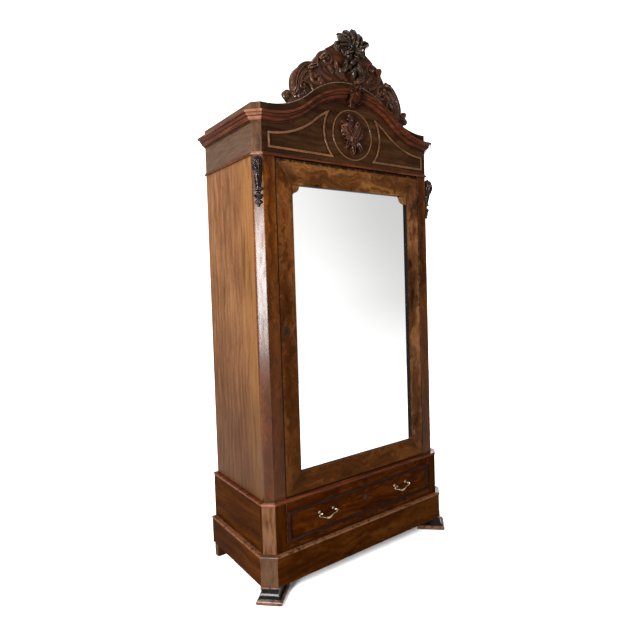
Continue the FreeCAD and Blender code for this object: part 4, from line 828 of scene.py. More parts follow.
@dataclass
class Woodwork:
    """Every board and moulding of the construction, with its finish and the run of its grain.

    Attributes:
        cant_leg: leg of the canted corners, in metres.
        plank_count: boards in the back.
        quirks: distances of the cornice's quirks out from the carcass, in metres.
        glare: colour of the light that the canted posts catch.
        sun: colour of the bleached sides.
        copper, step, nosing, pad: colours of a painted copper highlight on rubbed corners and on
            the feet's top fillet, of the base corners, of a painted highlight on the plinth's edge,
            and of the feet's pad.
        boards: finish and grain of each plain board, in the order of their seeds.
    """

    cant_leg: float = 0.030
    plank_count: int = 7
    quirks: tuple[float, ...] = (0.0065, 0.0228, 0.0345)
    glare: Colour = (0.040, 0.019, 0.013)
    sun: Colour = (0.135, 0.060, 0.016)
    copper: Colour = (0.110, 0.050, 0.028)
    step: Colour = (0.070, 0.033, 0.017)
    nosing: Colour = (0.085, 0.036, 0.017)
    pad: Colour = (0.088, 0.041, 0.023)
    boards: dict[str, tuple[Timber, Grain]] = field(default_factory=lambda: {
        "side_panel_left": (GOLDEN_WALNUT, Grain.UPRIGHT),
        "side_panel_right": (GOLDEN_WALNUT, Grain.UPRIGHT),
        "corner_post_left": (BROWN_WALNUT, Grain.UPRIGHT),
        "corner_post_right": (BROWN_WALNUT, Grain.UPRIGHT),
        "base_sides": (BASE_WALNUT, Grain.DEEP),
        "base_bottom_rail": (FLAME_WALNUT, Grain.ACROSS),
        "base_nosing": (RED_MAHOGANY, Grain.ACROSS),
        "nosing_corners": (COPPER_CORNER, Grain.ACROSS),
        "plinth_corners": (PALE_CORNER, Grain.UPRIGHT),
        "frieze_front": (ARCH_WALNUT, Grain.ACROSS),
        "frieze_corners": (CORNER_FRIEZE, Grain.UPRIGHT),
        "frieze_sides": (SIDE_FRIEZE, Grain.DEEP),
        "frieze_beads": (GOLD_BEAD, Grain.ACROSS),
        "roundel_ring": (GOLD_BEAD, Grain.ACROSS),
        "crest_board": (CREST_BOARD, Grain.ACROSS),
        "drawer_front": (CROTCH_WALNUT, Grain.ACROSS),
        "drawer_bead": (PURPLE_BEAD, Grain.ACROSS),
        "back_feet": (DARK_WALNUT, Grain.UPRIGHT),
        "plinth_back": (PLAIN_PINE, Grain.ACROSS),
        "cabinet_floor": (PLAIN_PINE, Grain.ACROSS),
        "cabinet_top": (PLAIN_PINE, Grain.ACROSS),
        "shelves": (PLAIN_PINE, Grain.ACROSS),
        "shelf_cleats": (PLAIN_PINE, Grain.DEEP),
        "door_stop": (BROWN_WALNUT, Grain.UPRIGHT),
        "drawer_runners": (PLAIN_PINE, Grain.DEEP),
        "drawer_sides": (PLAIN_PINE, Grain.DEEP),
        "drawer_back": (PLAIN_PINE, Grain.ACROSS),
        "drawer_bottom": (PLAIN_PINE, Grain.DEEP),
        "mirror_back": (PLAIN_PINE, Grain.UPRIGHT),
    })

    def dress(self) -> None:
        """Give each board its own cut of its wood."""
        low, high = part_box("corner_post_right")
        side, front = high.x - self.cant_leg, low.y + self.cant_leg
        # Painted shade, darker towards the floor, on the sides and the posts.
        fade = ShadeBelow(low=0.30, high=1.65, depth=0.64)
        glare = Cant(side, front, self.glare, gloss=0.135, low=1.12)
        sunned = Sunned(front, high.y + 0.18, self.sun)
        # The beads' sides get painted shade so that their crowns read lighter.
        marks = {"side_panel_left": (sunned, fade), "side_panel_right": (sunned, fade),
                 "corner_post_left": (fade, glare), "corner_post_right": (fade, glare),
                 "frieze_beads": (BeadShade(),), "roundel_ring": (BeadShade(),)}
        for seed, (node, (timber, grain)) in enumerate(self.boards.items(), 1):
            cut(node, timber, grain, seed, *marks.get(node, ()))
        self._dress_cornice(-low.y, high.x)
        # Painted highlight: a pale line along the rounded top edge of the plinth.
        nosing = Ring(low=0.1905, high=0.1990, colour=self.nosing)
        cut("plinth_front", FLAME_WALNUT, Grain.ACROSS, 56, nosing)
        cut("plinth_sides", BASE_WALNUT, Grain.DEEP, 57, nosing)
        back_low, back_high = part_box("back_boards")
        planks = Planks(back_low.x, back_high.x, self.plank_count)
        cut("back_boards", PLAIN_PINE, Grain.UPRIGHT, 58, planks)
        step = Cant(side + 0.007, front - 0.006, self.step)
        cut("base_corners", BASE_WALNUT, Grain.UPRIGHT, 59, step)
        # Painted copper highlight on the canted corners of the astragal.
        cut("frieze_astragal", RED_MAHOGANY, Grain.ACROSS, 60, Cant(side, front, self.copper))
        # The feet's pad, and a painted copper highlight on their top fillet.
        rings = Ring(-0.001, 0.022, self.pad), Ring(0.0635, 0.0685, self.copper)
        cut("front_foot_left", BLACK_FOOT, Grain.ACROSS, 61, *rings)
        cut("front_foot_right", BLACK_FOOT, Grain.ACROSS, 62, *rings)

    def _dress_cornice(self, face: float, edge: float) -> None:
        """Finish the cornice, with painted shade in its quirks.

        Args:
            face: distance from the middle to the front of the carcass, in metres.
            edge: distance from the middle to its side.
        """
        diagonal = math.sqrt(0.5)
        sloped = (edge - self.cant_leg / 2 + face - self.cant_leg / 2) * diagonal
        for seed, (node, timber, grain, lean, start) in enumerate((
                ("cornice_front_left", RED_MAHOGANY, Grain.ACROSS, (0.0, 1.0), face),
                ("cornice_front_right", RED_MAHOGANY, Grain.ACROSS, (0.0, 1.0), face),
                ("cornice_sides", RED_MAHOGANY, Grain.DEEP, (1.0, 0.0), edge),
                ("cornice_corners", COPPER_CORNER, Grain.ACROSS, (diagonal,) * 2, sloped)), 51):
            # Painted shade in the quirks of each piece of the cornice.
            quirks = QuirkShade(lean, tuple(start + quirk for quirk in self.quirks))
            cut(node, timber, grain, seed, quirks)


@dataclass
class Door:
    """Mirror door: veneered frame with stained mitres, and its glass.

    Attributes:
        tones: shares of red, green and blue on each member, in the order of their seeds; they paint
            light and shade, darker on the left stile by the window lamp and lighter on the right
            stile and the top rail.
        stain_inset: distance of the stains from the inner corners, in metres.
        rail_width: width of the rails.
        head_band: heights of the shaded band at the top, measured from the top.
        shade: colour of that band.
        foot_shade: colour of the painted shade towards the foot.
    """

    # Painted light and shade: each member of the frame gets its own tone of the one burr walnut.
    tones: dict[str, tuple[float, ...]] = field(default_factory=lambda: {
        "door_stile_left": (0.74, 0.66, 0.62), "door_stile_right": (1.45, 1.70, 2.5),
        "door_top_rail": (1.22, 1.32, 1.42), "door_bottom_rail": (1.10, 0.98, 0.80)})
    stain_inset: float = 0.012
    rail_width: float = 0.107
    head_band: Pair = (-0.011, 0.001)
    shade: Colour = (0.003, 0.002, 0.001)
    foot_shade: Colour = (0.020, 0.0065, 0.0008)

    def dress(self) -> None:
        """Finish the frame and the glass."""
        left_low, left_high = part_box("door_stile_left")
        right_low, right_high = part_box("door_stile_right")
        centre = ((left_low.x + right_high.x) / 2, (left_low.z + left_high.z) / 2)
        opening, half_height = right_low.x - centre[0], (left_high.z - left_low.z) / 2
        corner = (opening + self.stain_inset,
                  half_height - (left_high.x - left_low.x) + self.stain_inset)
        marks = (Stain(centre, corner),
                 # Painted shade, darker towards the foot of the frame.
                 ShadeBelow(low=0.40, high=1.75, colour=self.foot_shade, depth=0.42),
                 # Painted shade on the inner faces of the rebate round the glass.
                 RebateShade(centre, (opening, half_height - self.rail_width)),
                 # Painted shadow of the gap round the door.
                 GapShadow(centre, (right_high.x - centre[0], left_high.z - centre[1])),
                 Ring(*(left_high.z + height for height in self.head_band), self.shade))
        for seed, (node, shares) in enumerate(self.tones.items(), 71):
            grain = Grain.ACROSS if node.endswith("rail") else Grain.UPRIGHT
            cut(node, BURR_WALNUT.toned(*shares), grain, seed, *marks)
        assign("mirror_glass", MIRROR.material("silvered_glass", *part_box("mirror_glass")))


@dataclass
class Furniture:
    """Escutcheons, locks and pivots."""

    bronze: tuple[str, ...] = ("door_escutcheon", "drawer_escutcheon")
    iron: tuple[str, ...] = ("door_lock_case", "door_lock_bolt", "drawer_lock_case",
                             "drawer_lock_bolt", "door_pivots")

    def dress(self) -> None:
        """Finish every metal piece."""
        for metal, name, nodes in ((DARK_BRONZE, "dark_bronze", self.bronze),
                                   (DARK_IRON, "dark_iron", self.iron)):
            material = metal.material(name)
            for node in nodes:
                assign(node, material)


def assign(node: str, material: bpy.types.Material) -> None:
    """Put one material on a node of the construction.

    Args:
        node: name of the node.
        material: finish that takes the place of its plain one.
    """
    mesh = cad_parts[node].data
    mesh.materials.clear()
    mesh.materials.append(material)
    LOG.info("finished %s", node)


def cut(node: str, timber: Timber, grain: Grain, seed: int, *marks: Mark) -> None:
    """Finish a node in its own cut of a wood."""
    assign(node, timber.material("wood_" + node, grain, seed, *marks))


class Section(Enum):
    """Cross-sections of a carved band: heights from edge to edge, as shares of its width."""

    FLUTED = (0.0, 0.30, 0.38, 0.22, 0.15, 0.22, 0.38, 0.30, 0.0)
    ROUNDED = (0.0, 0.22, 0.33, 0.40, 0.42, 0.40, 0.33, 0.22, 0.0)


class Carver:
    """Bench on which a carving is cut lying flat: X runs across, Y up the wall and Z out of it."""

    def __init__(self) -> None:
        """Cut the leaf and the fruits that the carving repeats."""
        self.parts: list[bpy.types.Object] = []
        self.leaf_master = self._cut_leaf()
        self.berry_master = self._cut_fruit(ribs=1.0)
        self.pod_master = self._cut_fruit(ribs=0.52)

    def _grid(self, columns: int, rows: int) -> bpy.types.Object:
        """Lay a flat strip of unit length and width.

        Args:
            columns, rows: faces along and across it.

        Returns:
            The strip.
        """
        bpy.ops.object.select_all(action="DESELECT")
        bpy.ops.mesh.primitive_grid_add(x_subdivisions=columns, y_subdivisions=rows, size=1.0)
        return bpy.context.object

    def _pick(self, piece: bpy.types.Object, axis: int, place: float) -> None:
        """Select the points of a piece in edit mode that lie at a place along an axis.

        Args:
            piece: piece in edit mode.
            axis: number of the axis.
            place: coordinate on it.
        """
        shape = bmesh.from_edit_mesh(piece.data)
        for point in shape.verts:
            point.select_set(abs(point.co[axis] - place) < 1e-4)
        shape.select_flush(True)

    def _raise_rows(self, piece: bpy.types.Object, heights: tuple[float, ...]) -> None:
        """Lift the rows of a strip.

        Args:
            piece: strip in edit mode.
            heights: height of each row.
        """
        for row, height in enumerate(heights):
            self._pick(piece, 1, row / (len(heights) - 1) - 0.5)
            bpy.ops.transform.translate(value=(0.0, 0.0, height))

    def _apply(self, piece: bpy.types.Object, kind: str, **settings) -> None:
        """Add a modifier and apply it.

        Args:
            piece: piece to change.
            kind: type of the modifier.
            settings: its properties.
        """
        bpy.context.view_layer.objects.active = piece
        change = piece.modifiers.new("cut", kind)
        for name, setting in settings.items():
            setattr(change, name, setting)
        bpy.ops.object.modifier_apply(modifier=change.name)

    def _fix_in_mesh(self, piece: bpy.types.Object) -> None:
        """Put the place, turn and size of a piece into its mesh.

        Args:
            piece: piece to fix.
        """
        bpy.ops.object.select_all(action="DESELECT")
        piece.select_set(True)
        bpy.context.view_layer.objects.active = piece
        bpy.ops.object.transform_apply(location=True, rotation=True, scale=True)

    def _cut_leaf(self) -> bpy.types.Object:
        """Cut a leaf of unit length and width, with lobes, a hollow midrib and rippled blades.

        Returns:
            The leaf.
        """
        columns, lobes = 30, 2.5
        leaf = self._grid(columns, STRIP_ROWS)
        bpy.ops.object.mode_set(mode="EDIT")
        bpy.ops.mesh.select_mode(type="VERT")
        self._raise_rows(leaf, (0.0, 0.16, 0.25, 0.20, 0.06, 0.20, 0.25, 0.16, 0.0))
        for column in range(columns + 1):
            share = column / columns
            self._pick(leaf, 0, share - 0.5)
            spread = math.sin(math.pi * (0.08 + 0.87 * share)) ** 0.6
            notch = 0.80 + 0.20 * abs(math.cos(math.pi * lobes * share))
            bpy.ops.transform.resize(value=(1.0, spread * notch, 0.35 + 0.65 * spread),
                                     center_override=(share - 0.5, 0.0, 0.0))
            bpy.ops.transform.translate(value=(0.0, 0.0, 0.12 * notch))
        bpy.ops.mesh.select_all(action="SELECT")
        bpy.ops.transform.translate(value=(0.5, 0.0, 0.0))
        bpy.ops.object.mode_set(mode="OBJECT")
        self._apply(leaf, "SUBSURF", levels=1, render_levels=1)
        self._apply(leaf, "SOLIDIFY", thickness=0.10, offset=-1.0)
        return leaf

    def _cut_fruit(self, ribs: float) -> bpy.types.Object:
        """Cut a fruit of unit radius with a dimple at its tip.

        Args:
            ribs: share to which every second meridian is drawn in.

        Returns:
            The fruit.
        """
        bpy.ops.object.select_all(action="DESELECT")
        bpy.ops.mesh.primitive_uv_sphere_add(segments=FRUIT_SEGMENTS, ring_count=FRUIT_RINGS,
                                             radius=1.0)
        fruit = bpy.context.object
        bpy.ops.object.mode_set(mode="EDIT")
        shape = bmesh.from_edit_mesh(fruit.data)
        for point in shape.verts:
            turn = round(math.atan2(point.co.y, point.co.x) / math.tau * FRUIT_SEGMENTS)
            point.select_set(turn % 2 == 0 and abs(point.co.z) < 0.99)
        shape.select_flush(False)
        bpy.ops.transform.resize(value=(ribs, ribs, 1.0), center_override=(0.0, 0.0, 0.0))
        self._pick(fruit, 2, 1.0)
        bpy.ops.transform.translate(value=(0.0, 0.0, -0.16))
        bpy.ops.object.mode_set(mode="OBJECT")
        self._apply(fruit, "SUBSURF", levels=1, render_levels=1)
        return fruit

    def _copy(self, master: bpy.types.Object) -> bpy.types.Object:
        """Copy a master with a mesh of its own.

        Args:
            master: leaf or fruit to copy.

        Returns:
            The copy.
        """
        copy = master.copy()
        copy.data = master.data.copy()
        bpy.context.scene.collection.objects.link(copy)
        return copy

    def band(self, route: list[Point], widths: Pair, section: Section,
             sink: float = 0.005) -> None:
        """Carve a band that follows a smooth route.

        Args:
            route: control points, across and up and, where given, out of the wall.
            widths: width at the first and at the last point.
            section: cross-section.
            sink: depth of the band below its edges.
        """
        strip = self._grid(FACES_PER_POINT * len(route), STRIP_ROWS)
        bpy.ops.object.mode_set(mode="EDIT")
        bpy.ops.mesh.select_mode(type="VERT")
        self._raise_rows(strip, section.value)
        bpy.ops.object.mode_set(mode="OBJECT")
        curve = bpy.data.curves.new("route", "CURVE")
        curve.dimensions = "3D"
        curve.twist_mode = "Z_UP"
        curve.use_radius = True
        curve.use_stretch = True
        curve.use_deform_bounds = True
        line = curve.splines.new("NURBS")
        line.points.add(len(route) - 1)
        for index, (knot, place) in enumerate(zip(line.points, route)):
            share = index / (len(route) - 1)
            knot.co = (place[0], place[1], place[2] if len(place) > 2 else 0.0, 1.0)
            knot.radius = widths[0] + (widths[1] - widths[0]) * share
        line.order_u = 4
        line.use_endpoint_u = True
        line.resolution_u = 10
        rail = bpy.data.objects.new("route", curve)
        bpy.context.scene.collection.objects.link(rail)
        self._apply(strip, "CURVE", object=rail, deform_axis="POS_X")
        self._apply(strip, "SOLIDIFY", thickness=sink, offset=-1.0)
        bpy.data.objects.remove(rail)
        self.parts.append(strip)

    def leaf(self, stalk: Point, angle: float, size: Point, curl: float = 0.0,
             lift: float = 0.0) -> None:
        """Lay a leaf.

        Args:
            stalk: foot of the leaf, across and up and out.
            angle: direction of its tip, in degrees from across.
            size: length, width and thickness.
            curl: angle in degrees by which its tip rolls out of the wall.
            lift: angle in degrees by which it rises out of the wall.
        """
        leaf = self._copy(self.leaf_master)
        if curl:
            self._apply(leaf, "SIMPLE_DEFORM", deform_method="BEND", deform_axis="Y",
                        angle=-math.radians(curl))
        leaf.scale = size
        leaf.rotation_euler = (0.0, -math.radians(lift), math.radians(angle))
        leaf.location = stalk
        self._fix_in_mesh(leaf)
        self.parts.append(leaf)

    def fruit(self, place: Point, size: Point, angle: float = 0.0, ribbed: bool = False) -> None:
        """Lay a berry or a ribbed fruit.

        Args:
            place: its middle, across and up and out.
            size: half its width, height and thickness.
            angle: lean of a ribbed fruit, in degrees.
            ribbed: whether it has ribs.
        """
        fruit = self._copy(self.pod_master if ribbed else self.berry_master)
        fruit.scale = (size[0], size[2], size[1]) if ribbed else size
        if ribbed:
            fruit.rotation_euler = (math.pi / 2, 0.0, math.radians(angle))
        fruit.location = place
        self._fix_in_mesh(fruit)
        self.parts.append(fruit)

    def bands(self, route: list[Point], widths: Pair, section: Section,
              sink: float = 0.005) -> None:
        """Carve a band on the right, and its mirror image."""
        for side in (mirrored(route), route):
            self.band(side, widths, section, sink)

    def leaves(self, stalk: Point, spread: float, size: Point, curl: float = 0.0,
               lift: float = 0.0) -> None:
        """Lay a leaf on each side, spread from straight up by an angle in degrees."""
        for sign in SIDES:
            self.leaf((sign * stalk[0], *stalk[1:]), 90.0 - sign * spread, size, curl, lift)

    def fruits(self, place: Point, size: Point) -> None:
        """Lay a berry on each side."""
        for sign in SIDES:
            self.fruit((sign * place[0], *place[1:]), size)

    def finish(self, name: str, place: Vector, turn: float = 0.0) -> bpy.types.Object:
        """Join the cuts, stand the carving up and put it in its place.

        Args:
            name: name of the piece.
            place: where the bench's origin goes.
            turn: turn about the vertical, in degrees.

        Returns:
            The finished piece.
        """
        for master in (self.leaf_master, self.berry_master, self.pod_master):
            bpy.data.objects.remove(master)
        bpy.ops.object.select_all(action="DESELECT")
        for part in self.parts:
            part.select_set(True)
        bpy.context.view_layer.objects.active = self.parts[0]
        bpy.ops.object.join()
        piece = bpy.context.object
        piece.name = name
        piece.data.name = name
        bpy.ops.object.shade_smooth_by_angle(angle=math.radians(SMOOTH_BELOW))
        stand = Matrix.Rotation(math.radians(turn), 4, "Z") @ Matrix.Rotation(math.pi / 2, 4, "X")
        piece.matrix_world = Matrix.Translation(place) @ stand
        self._fix_in_mesh(piece)
        LOG.info("carved %s", name)
        return piece


def spiral(hub: Pair, radii: Pair, angles: Pair, steps: int) -> list[Point]:
    """Points of a spiral about a hub.

    Args:
        hub: centre, across and up.
        radii: first and last radius.
        angles: first and last bearing, in degrees.
        steps: number of points.

    Returns:
        The points, in order.
    """
    points = []
    for step in range(steps):
        share = step / (steps - 1)
        bearing = math.radians(angles[0] + (angles[1] - angles[0]) * share)
        radius = radii[0] * (radii[1] / radii[0]) ** share
        points.append((hub[0] + radius * math.cos(bearing), hub[1] + radius * math.sin(bearing)))
    return points


def mirrored(points: list[Point]) -> list[Point]:
    """Points turned over from the right to the left."""
    return [(-x, *rest) for x, *rest in points]


def scaled(points: Pairs, half: float, tall: float) -> list[Point]:
    """Points given as shares of a half width and a height, in metres."""
    return [(x * half, z * tall) for x, z in points]


def settle(piece: bpy.types.Object, material: bpy.types.Material, body: str, slot: str,
           *nodes: str) -> None:
    """Finish a piece and let it stand for nodes of the construction.

    Args:
        piece: the carved or cast piece.
        material: its finish.
        body: body that it rides on.
        slot: not used.
        nodes: nodes that it replaces.
    """
    piece.data.materials.append(material)
    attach(piece, body)
    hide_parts(*nodes)


@dataclass(frozen=True)
class Block:
    """Box that a carving fills.

    Attributes:
        half: half its width, in metres.
        tall: its height.
        deep: its depth.
    """

    half: float
    tall: float
    deep: float

    def at(self, across: float, up: float, out: float) -> Point:
        """Place or size in shares of the half width, the height and the depth."""
        return (self.half * across, self.tall * up, self.deep * out)

    def round(self, across: float, up: float, out: float) -> Point:
        """Size in shares of the half width, the half width and the depth."""
        return (self.half * across, self.half * up, self.deep * out)

    def spine(self, points: Pairs) -> list[Point]:
        """Route up the middle, from shares of the height and the depth."""
        return [self.at(0.0, up, out) for up, out in points]


@dataclass(frozen=True)
class Volute:
    """Rolled band of the crest, from its eye outwards.

    Attributes:
        eye: its middle, as shares of the half width and the height.
        radii: first and last radius, in metres.
        angles: first and last bearing, in degrees.
        steps: points on the roll.
        tail: points after the roll, as shares.
        widths: first and last width, as shares of a scroll's.
        berry: radius of the berry in the eye, in metres; 0 leaves it out.
        out: distance from the board.
    """

    eye: Pair
    radii: Pair
    angles: Pair
    steps: int
    tail: Pairs
    widths: Pair
    berry: float = 0.0
    out: float = 0.0

    def route(self, half: float, tall: float) -> list[Point]:
        """Find the points of the band.

        Args:
            half: half the crest's width, in metres.
            tall: its height.

        Returns:
            The points, from the eye to the end of the tail.
        """
        hub = (self.eye[0] * half, self.eye[1] * tall)
        rolled = spiral(hub, self.radii, self.angles, self.steps)
        return [(*spot, self.out) for spot in rolled + scaled(self.tail, half, tall)]


@dataclass(frozen=True)
class Spray:
    """Leaves of one kind on the crest.

    Attributes:
        out: distance from the board, in metres.
        thick: thickness of a leaf.
        curl: roll of a tip, in degrees.
        rows: place in shares, spread in degrees, length and width of each leaf.
    """

    out: float
    thick: float
    curl: float
    rows: Rows


@dataclass
class Crest:
    """Carved crest: C-scrolls, volutes and leaves on the board, and a leaf head with fruit.

    Attributes:
        scroll_width: width of the outer C-scroll, in metres.
        tip: width of a C-scroll's first end, as a share.
        arc: outer C-scroll, as shares of the half width and the height.
        hollow: point towards which the inner C-scrolls are drawn.
        flutes: share by which each C-scroll is drawn in, and its width.
        volutes: rolled bands.
        stems: other bands, with their first and last width.
        sprays: leaves.
        foot: height of the head's foot, as a share.
        midrib: points of the head's middle rib over its foot, up and out, in metres.
        bunch: place and radius of the berries under the head.
    """

    scroll_width: float = 0.030
    tip: float = 0.6
    arc: Pairs = ((0.60, 0.615), (0.70, 0.60), (0.79, 0.49), (0.852, 0.34),
                  (0.868, 0.20), (0.83, 0.09))
    hollow: Pair = (0.60, 0.24)
    flutes: Pairs = ((0.0, 1.0), (0.24, 0.85), (0.48, 0.70))
    volutes: tuple[Volute, ...] = (
        Volute((0.555, 0.44), (0.011, 0.046), (550.0, 40.0), 13, ((0.56, 0.285), (0.46, 0.36)),
               (0.36, 0.62), berry=0.011),
        Volute((0.735, 0.27), (0.006, 0.024), (-300.0, 130.0), 11, ((0.63, 0.33), (0.60, 0.24)),
               (0.26, 0.42), berry=0.007, out=0.008),
        Volute((0.363, 0.735), (0.009, 0.036), (520.0, 100.0), 12,
               ((0.47, 0.80), (0.525, 0.70), (0.50, 0.58), (0.42, 0.49), (0.31, 0.455)),
               (0.34, 0.72), berry=0.009),
        Volute((0.965, 0.085), (0.006, 0.017), (-440.0, 90.0), 10, ((0.89, 0.13), (0.85, 0.10)),
               (0.4, 0.5)))
    stems: tuple[tuple[Pairs, Pair], ...] = (
        (((0.42, 0.60), (0.36, 0.55), (0.28, 0.53), (0.20, 0.56)), (0.5, 0.3)),
        (((0.385, 0.862), (0.33, 0.905), (0.27, 0.950), (0.22, 0.980)), (0.35, 0.35)))
    sprays: tuple[Spray, ...] = (
        Spray(0.004, 0.050, 30.0, (
            (0.67, 0.53, -75.0, 0.040, 0.026), (0.49, 0.70, -50.0, 0.036, 0.026),
            (0.90, 0.10, -15.0, 0.036, 0.026))),
        Spray(0.0, 0.030, 8.0, (
            (0.06, 0.50, 70.0, 0.070, 0.030), (0.10, 0.52, 38.0, 0.052, 0.026),
            (0.21, 0.60, 16.0, 0.044, 0.024), (0.28, 0.56, 50.0, 0.040, 0.022),
            (0.41, 0.37, 66.0, 0.044, 0.026))))
    foot: float = 0.72
    midrib: Pairs = ((0.056, 0.026), (0.078, 0.032), (0.100, 0.034), (0.122, 0.032))
    bunch: Rows = (
        (-0.019, 0.036, 0.018), (0.021, 0.033, 0.017), (0.0, 0.012, 0.017),
        (-0.036, 0.012, 0.014), (0.038, 0.008, 0.013), (-0.017, -0.012, 0.013),
        (0.018, -0.014, 0.013), (0.0, -0.034, 0.011), (-0.034, -0.008, 0.009),
        (0.036, -0.012, 0.009))

    def build(self) -> None:
        """Carve the scrolls and the head."""
        low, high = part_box("crest_board")
        origin, tall = Vector((0.0, low.y, low.z)), high.z - low.z
        carver = Carver()
        self._carve_scrolls(carver, high.x, tall)
        scrolls = carver.finish("crest_carving", origin)
        wood = BROWN_CARVING.material("carved_scrolls", Grain.ACROSS, 91)
        settle(scrolls, wood, "cabinet", "ebonised", "crest_scrolls")
        carver = Carver()
        self._carve_head(carver, tall * self.foot)
        head = carver.finish("crest_head", origin)
        wood = DARK_CARVING.material("carved_head", Grain.UPRIGHT, 92)
        settle(head, wood, "cabinet", "ebonised", "crest_cartouche")

    def _carve_scrolls(self, carver: Carver, half: float, tall: float) -> None:
        """Carve the scrollwork on both sides.

        Args:
            carver: bench to carve on.
            half: half the crest's width, in metres.
            tall: its height.
        """
        wide = self.scroll_width
        for inward, share in self.flutes:
            drawn = tuple((x + (self.hollow[0] - x) * inward, z + (self.hollow[1] - z) * inward)
                          for x, z in self.arc)
            carver.bands(scaled(drawn, half, tall), (wide * self.tip * share, wide * share),
                         Section.FLUTED)
        for volute in self.volutes:
            first, last = volute.widths
            carver.bands(volute.route(half, tall), (wide * first, wide * last), Section.ROUNDED)
            if volute.berry:
                carver.fruits((volute.eye[0] * half, volute.eye[1] * tall, 0.006),
                              (volute.berry, volute.berry, 0.015))
        for stem, (first, last) in self.stems:
            carver.bands(scaled(stem, half, tall), (wide * first, wide * last), Section.ROUNDED)
        for spray in self.sprays:
            for x, z, spread, length, width in spray.rows:
                carver.leaves((x * half, z * tall, spray.out), spread,
                              (length, width, spray.thick), spray.curl)

    def _carve_head(self, carver: Carver, foot: float) -> None:
        """Carve the leaf head over the middle of the board.

        Args:
            carver: bench to carve on.
            foot: height of the head's foot, in metres.
        """
        carver.fruit((0.0, foot + 0.090, 0.004), (0.060, 0.064, 0.018))
        carver.leaves((0.012, foot + 0.078, 0.006), 28.0, (0.084, 0.076, 0.048), 58.0, 2.0)
        carver.leaf((0.0, foot + 0.072, 0.010), 90.0, (0.096, 0.066, 0.048), 58.0, 2.0)
        carver.band([(0.0, foot + up, out) for up, out in self.midrib], (0.007, 0.011),
                    Section.ROUNDED, 0.02)
        carver.leaves((0.014, foot + 0.086, 0.006), 72.0, (0.092, 0.054, 0.052), 46.0, 4.0)
        curl = spiral((0.070, foot + 0.074), (0.005, 0.020), (-340.0, 110.0), 10)
        curl += [(0.034, foot + 0.088), (0.012, foot + 0.070)]
        carver.bands([(*spot, 0.012) for spot in curl], (0.010, 0.014), Section.FLUTED, 0.014)
        carver.fruits((0.070, foot + 0.074, 0.014), (0.008, 0.008, 0.010))
        carver.leaves((0.006, foot + 0.064, 0.018), 122.0, (0.056, 0.036, 0.046), 40.0, 4.0)
        carver.leaves((0.024, foot + 0.008, 0.002), 150.0, (0.056, 0.036, 0.050), 28.0, 4.0)
        carver.leaf((0.0, foot - 0.012, 0.002), 270.0, (0.052, 0.036, 0.050), 28.0, 4.0)
        for x, z, size in self.bunch:
            carver.fruit((x, foot + z, 0.020), (size, size, size))


@dataclass
class Keystone:
    """Carved block over the crown of the arch: a leaf console with a fruit and two side leaves.

    Attributes:
        spine: console from its top, as shares of the height and the depth.
    """

    spine: Pairs = ((0.80, 0.06), (0.68, 0.16), (0.48, 0.26), (0.22, 0.16), (0.03, 0.04))

    def build(self) -> None:
        """Carve the block in the box of its solid."""
        low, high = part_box("keystone")
        block = Block(high.x, high.z - low.z, high.y - low.y)
        half, tall = block.half, block.tall
        carver = Carver()
        carver.band(block.spine(self.spine), (half * 0.9, half), Section.ROUNDED,
                    block.deep * 0.30)
        carver.fruit(block.at(0.0, 0.36, 0.52), block.at(0.72, 0.27, 0.36))
        carver.leaf(block.at(0.0, 0.50, 0.62), 90.0, (tall * 0.27, half * 1.1, 0.030), 36.0, 4.0)
        carver.leaves(block.at(0.15, 0.42, 0.50), 62.0, (tall * 0.36, half * 0.8, 0.034),
                      34.0, -10.0)
        carver.leaves(block.at(0.30, 0.38, 0.62), 164.0, (tall * 0.30, half * 0.62, 0.030),
                      -24.0, -18.0)
        carver.fruits(block.at(0.72, 0.56, 0.36), (0.011, 0.012, 0.010))
        carver.fruit(block.at(0.0, 0.43, 0.84), (0.012, 0.012, 0.010))
        carver.fruit(block.at(0.0, 0.10, 0.12), (0.013, 0.011, 0.008))
        piece = carver.finish("keystone_carving", Vector((0.0, high.y, low.z)))
        wood = KEYSTONE_CARVING.material("carved_keystone", Grain.UPRIGHT, 93)
        settle(piece, wood, "cabinet", "ebonised", "keystone")


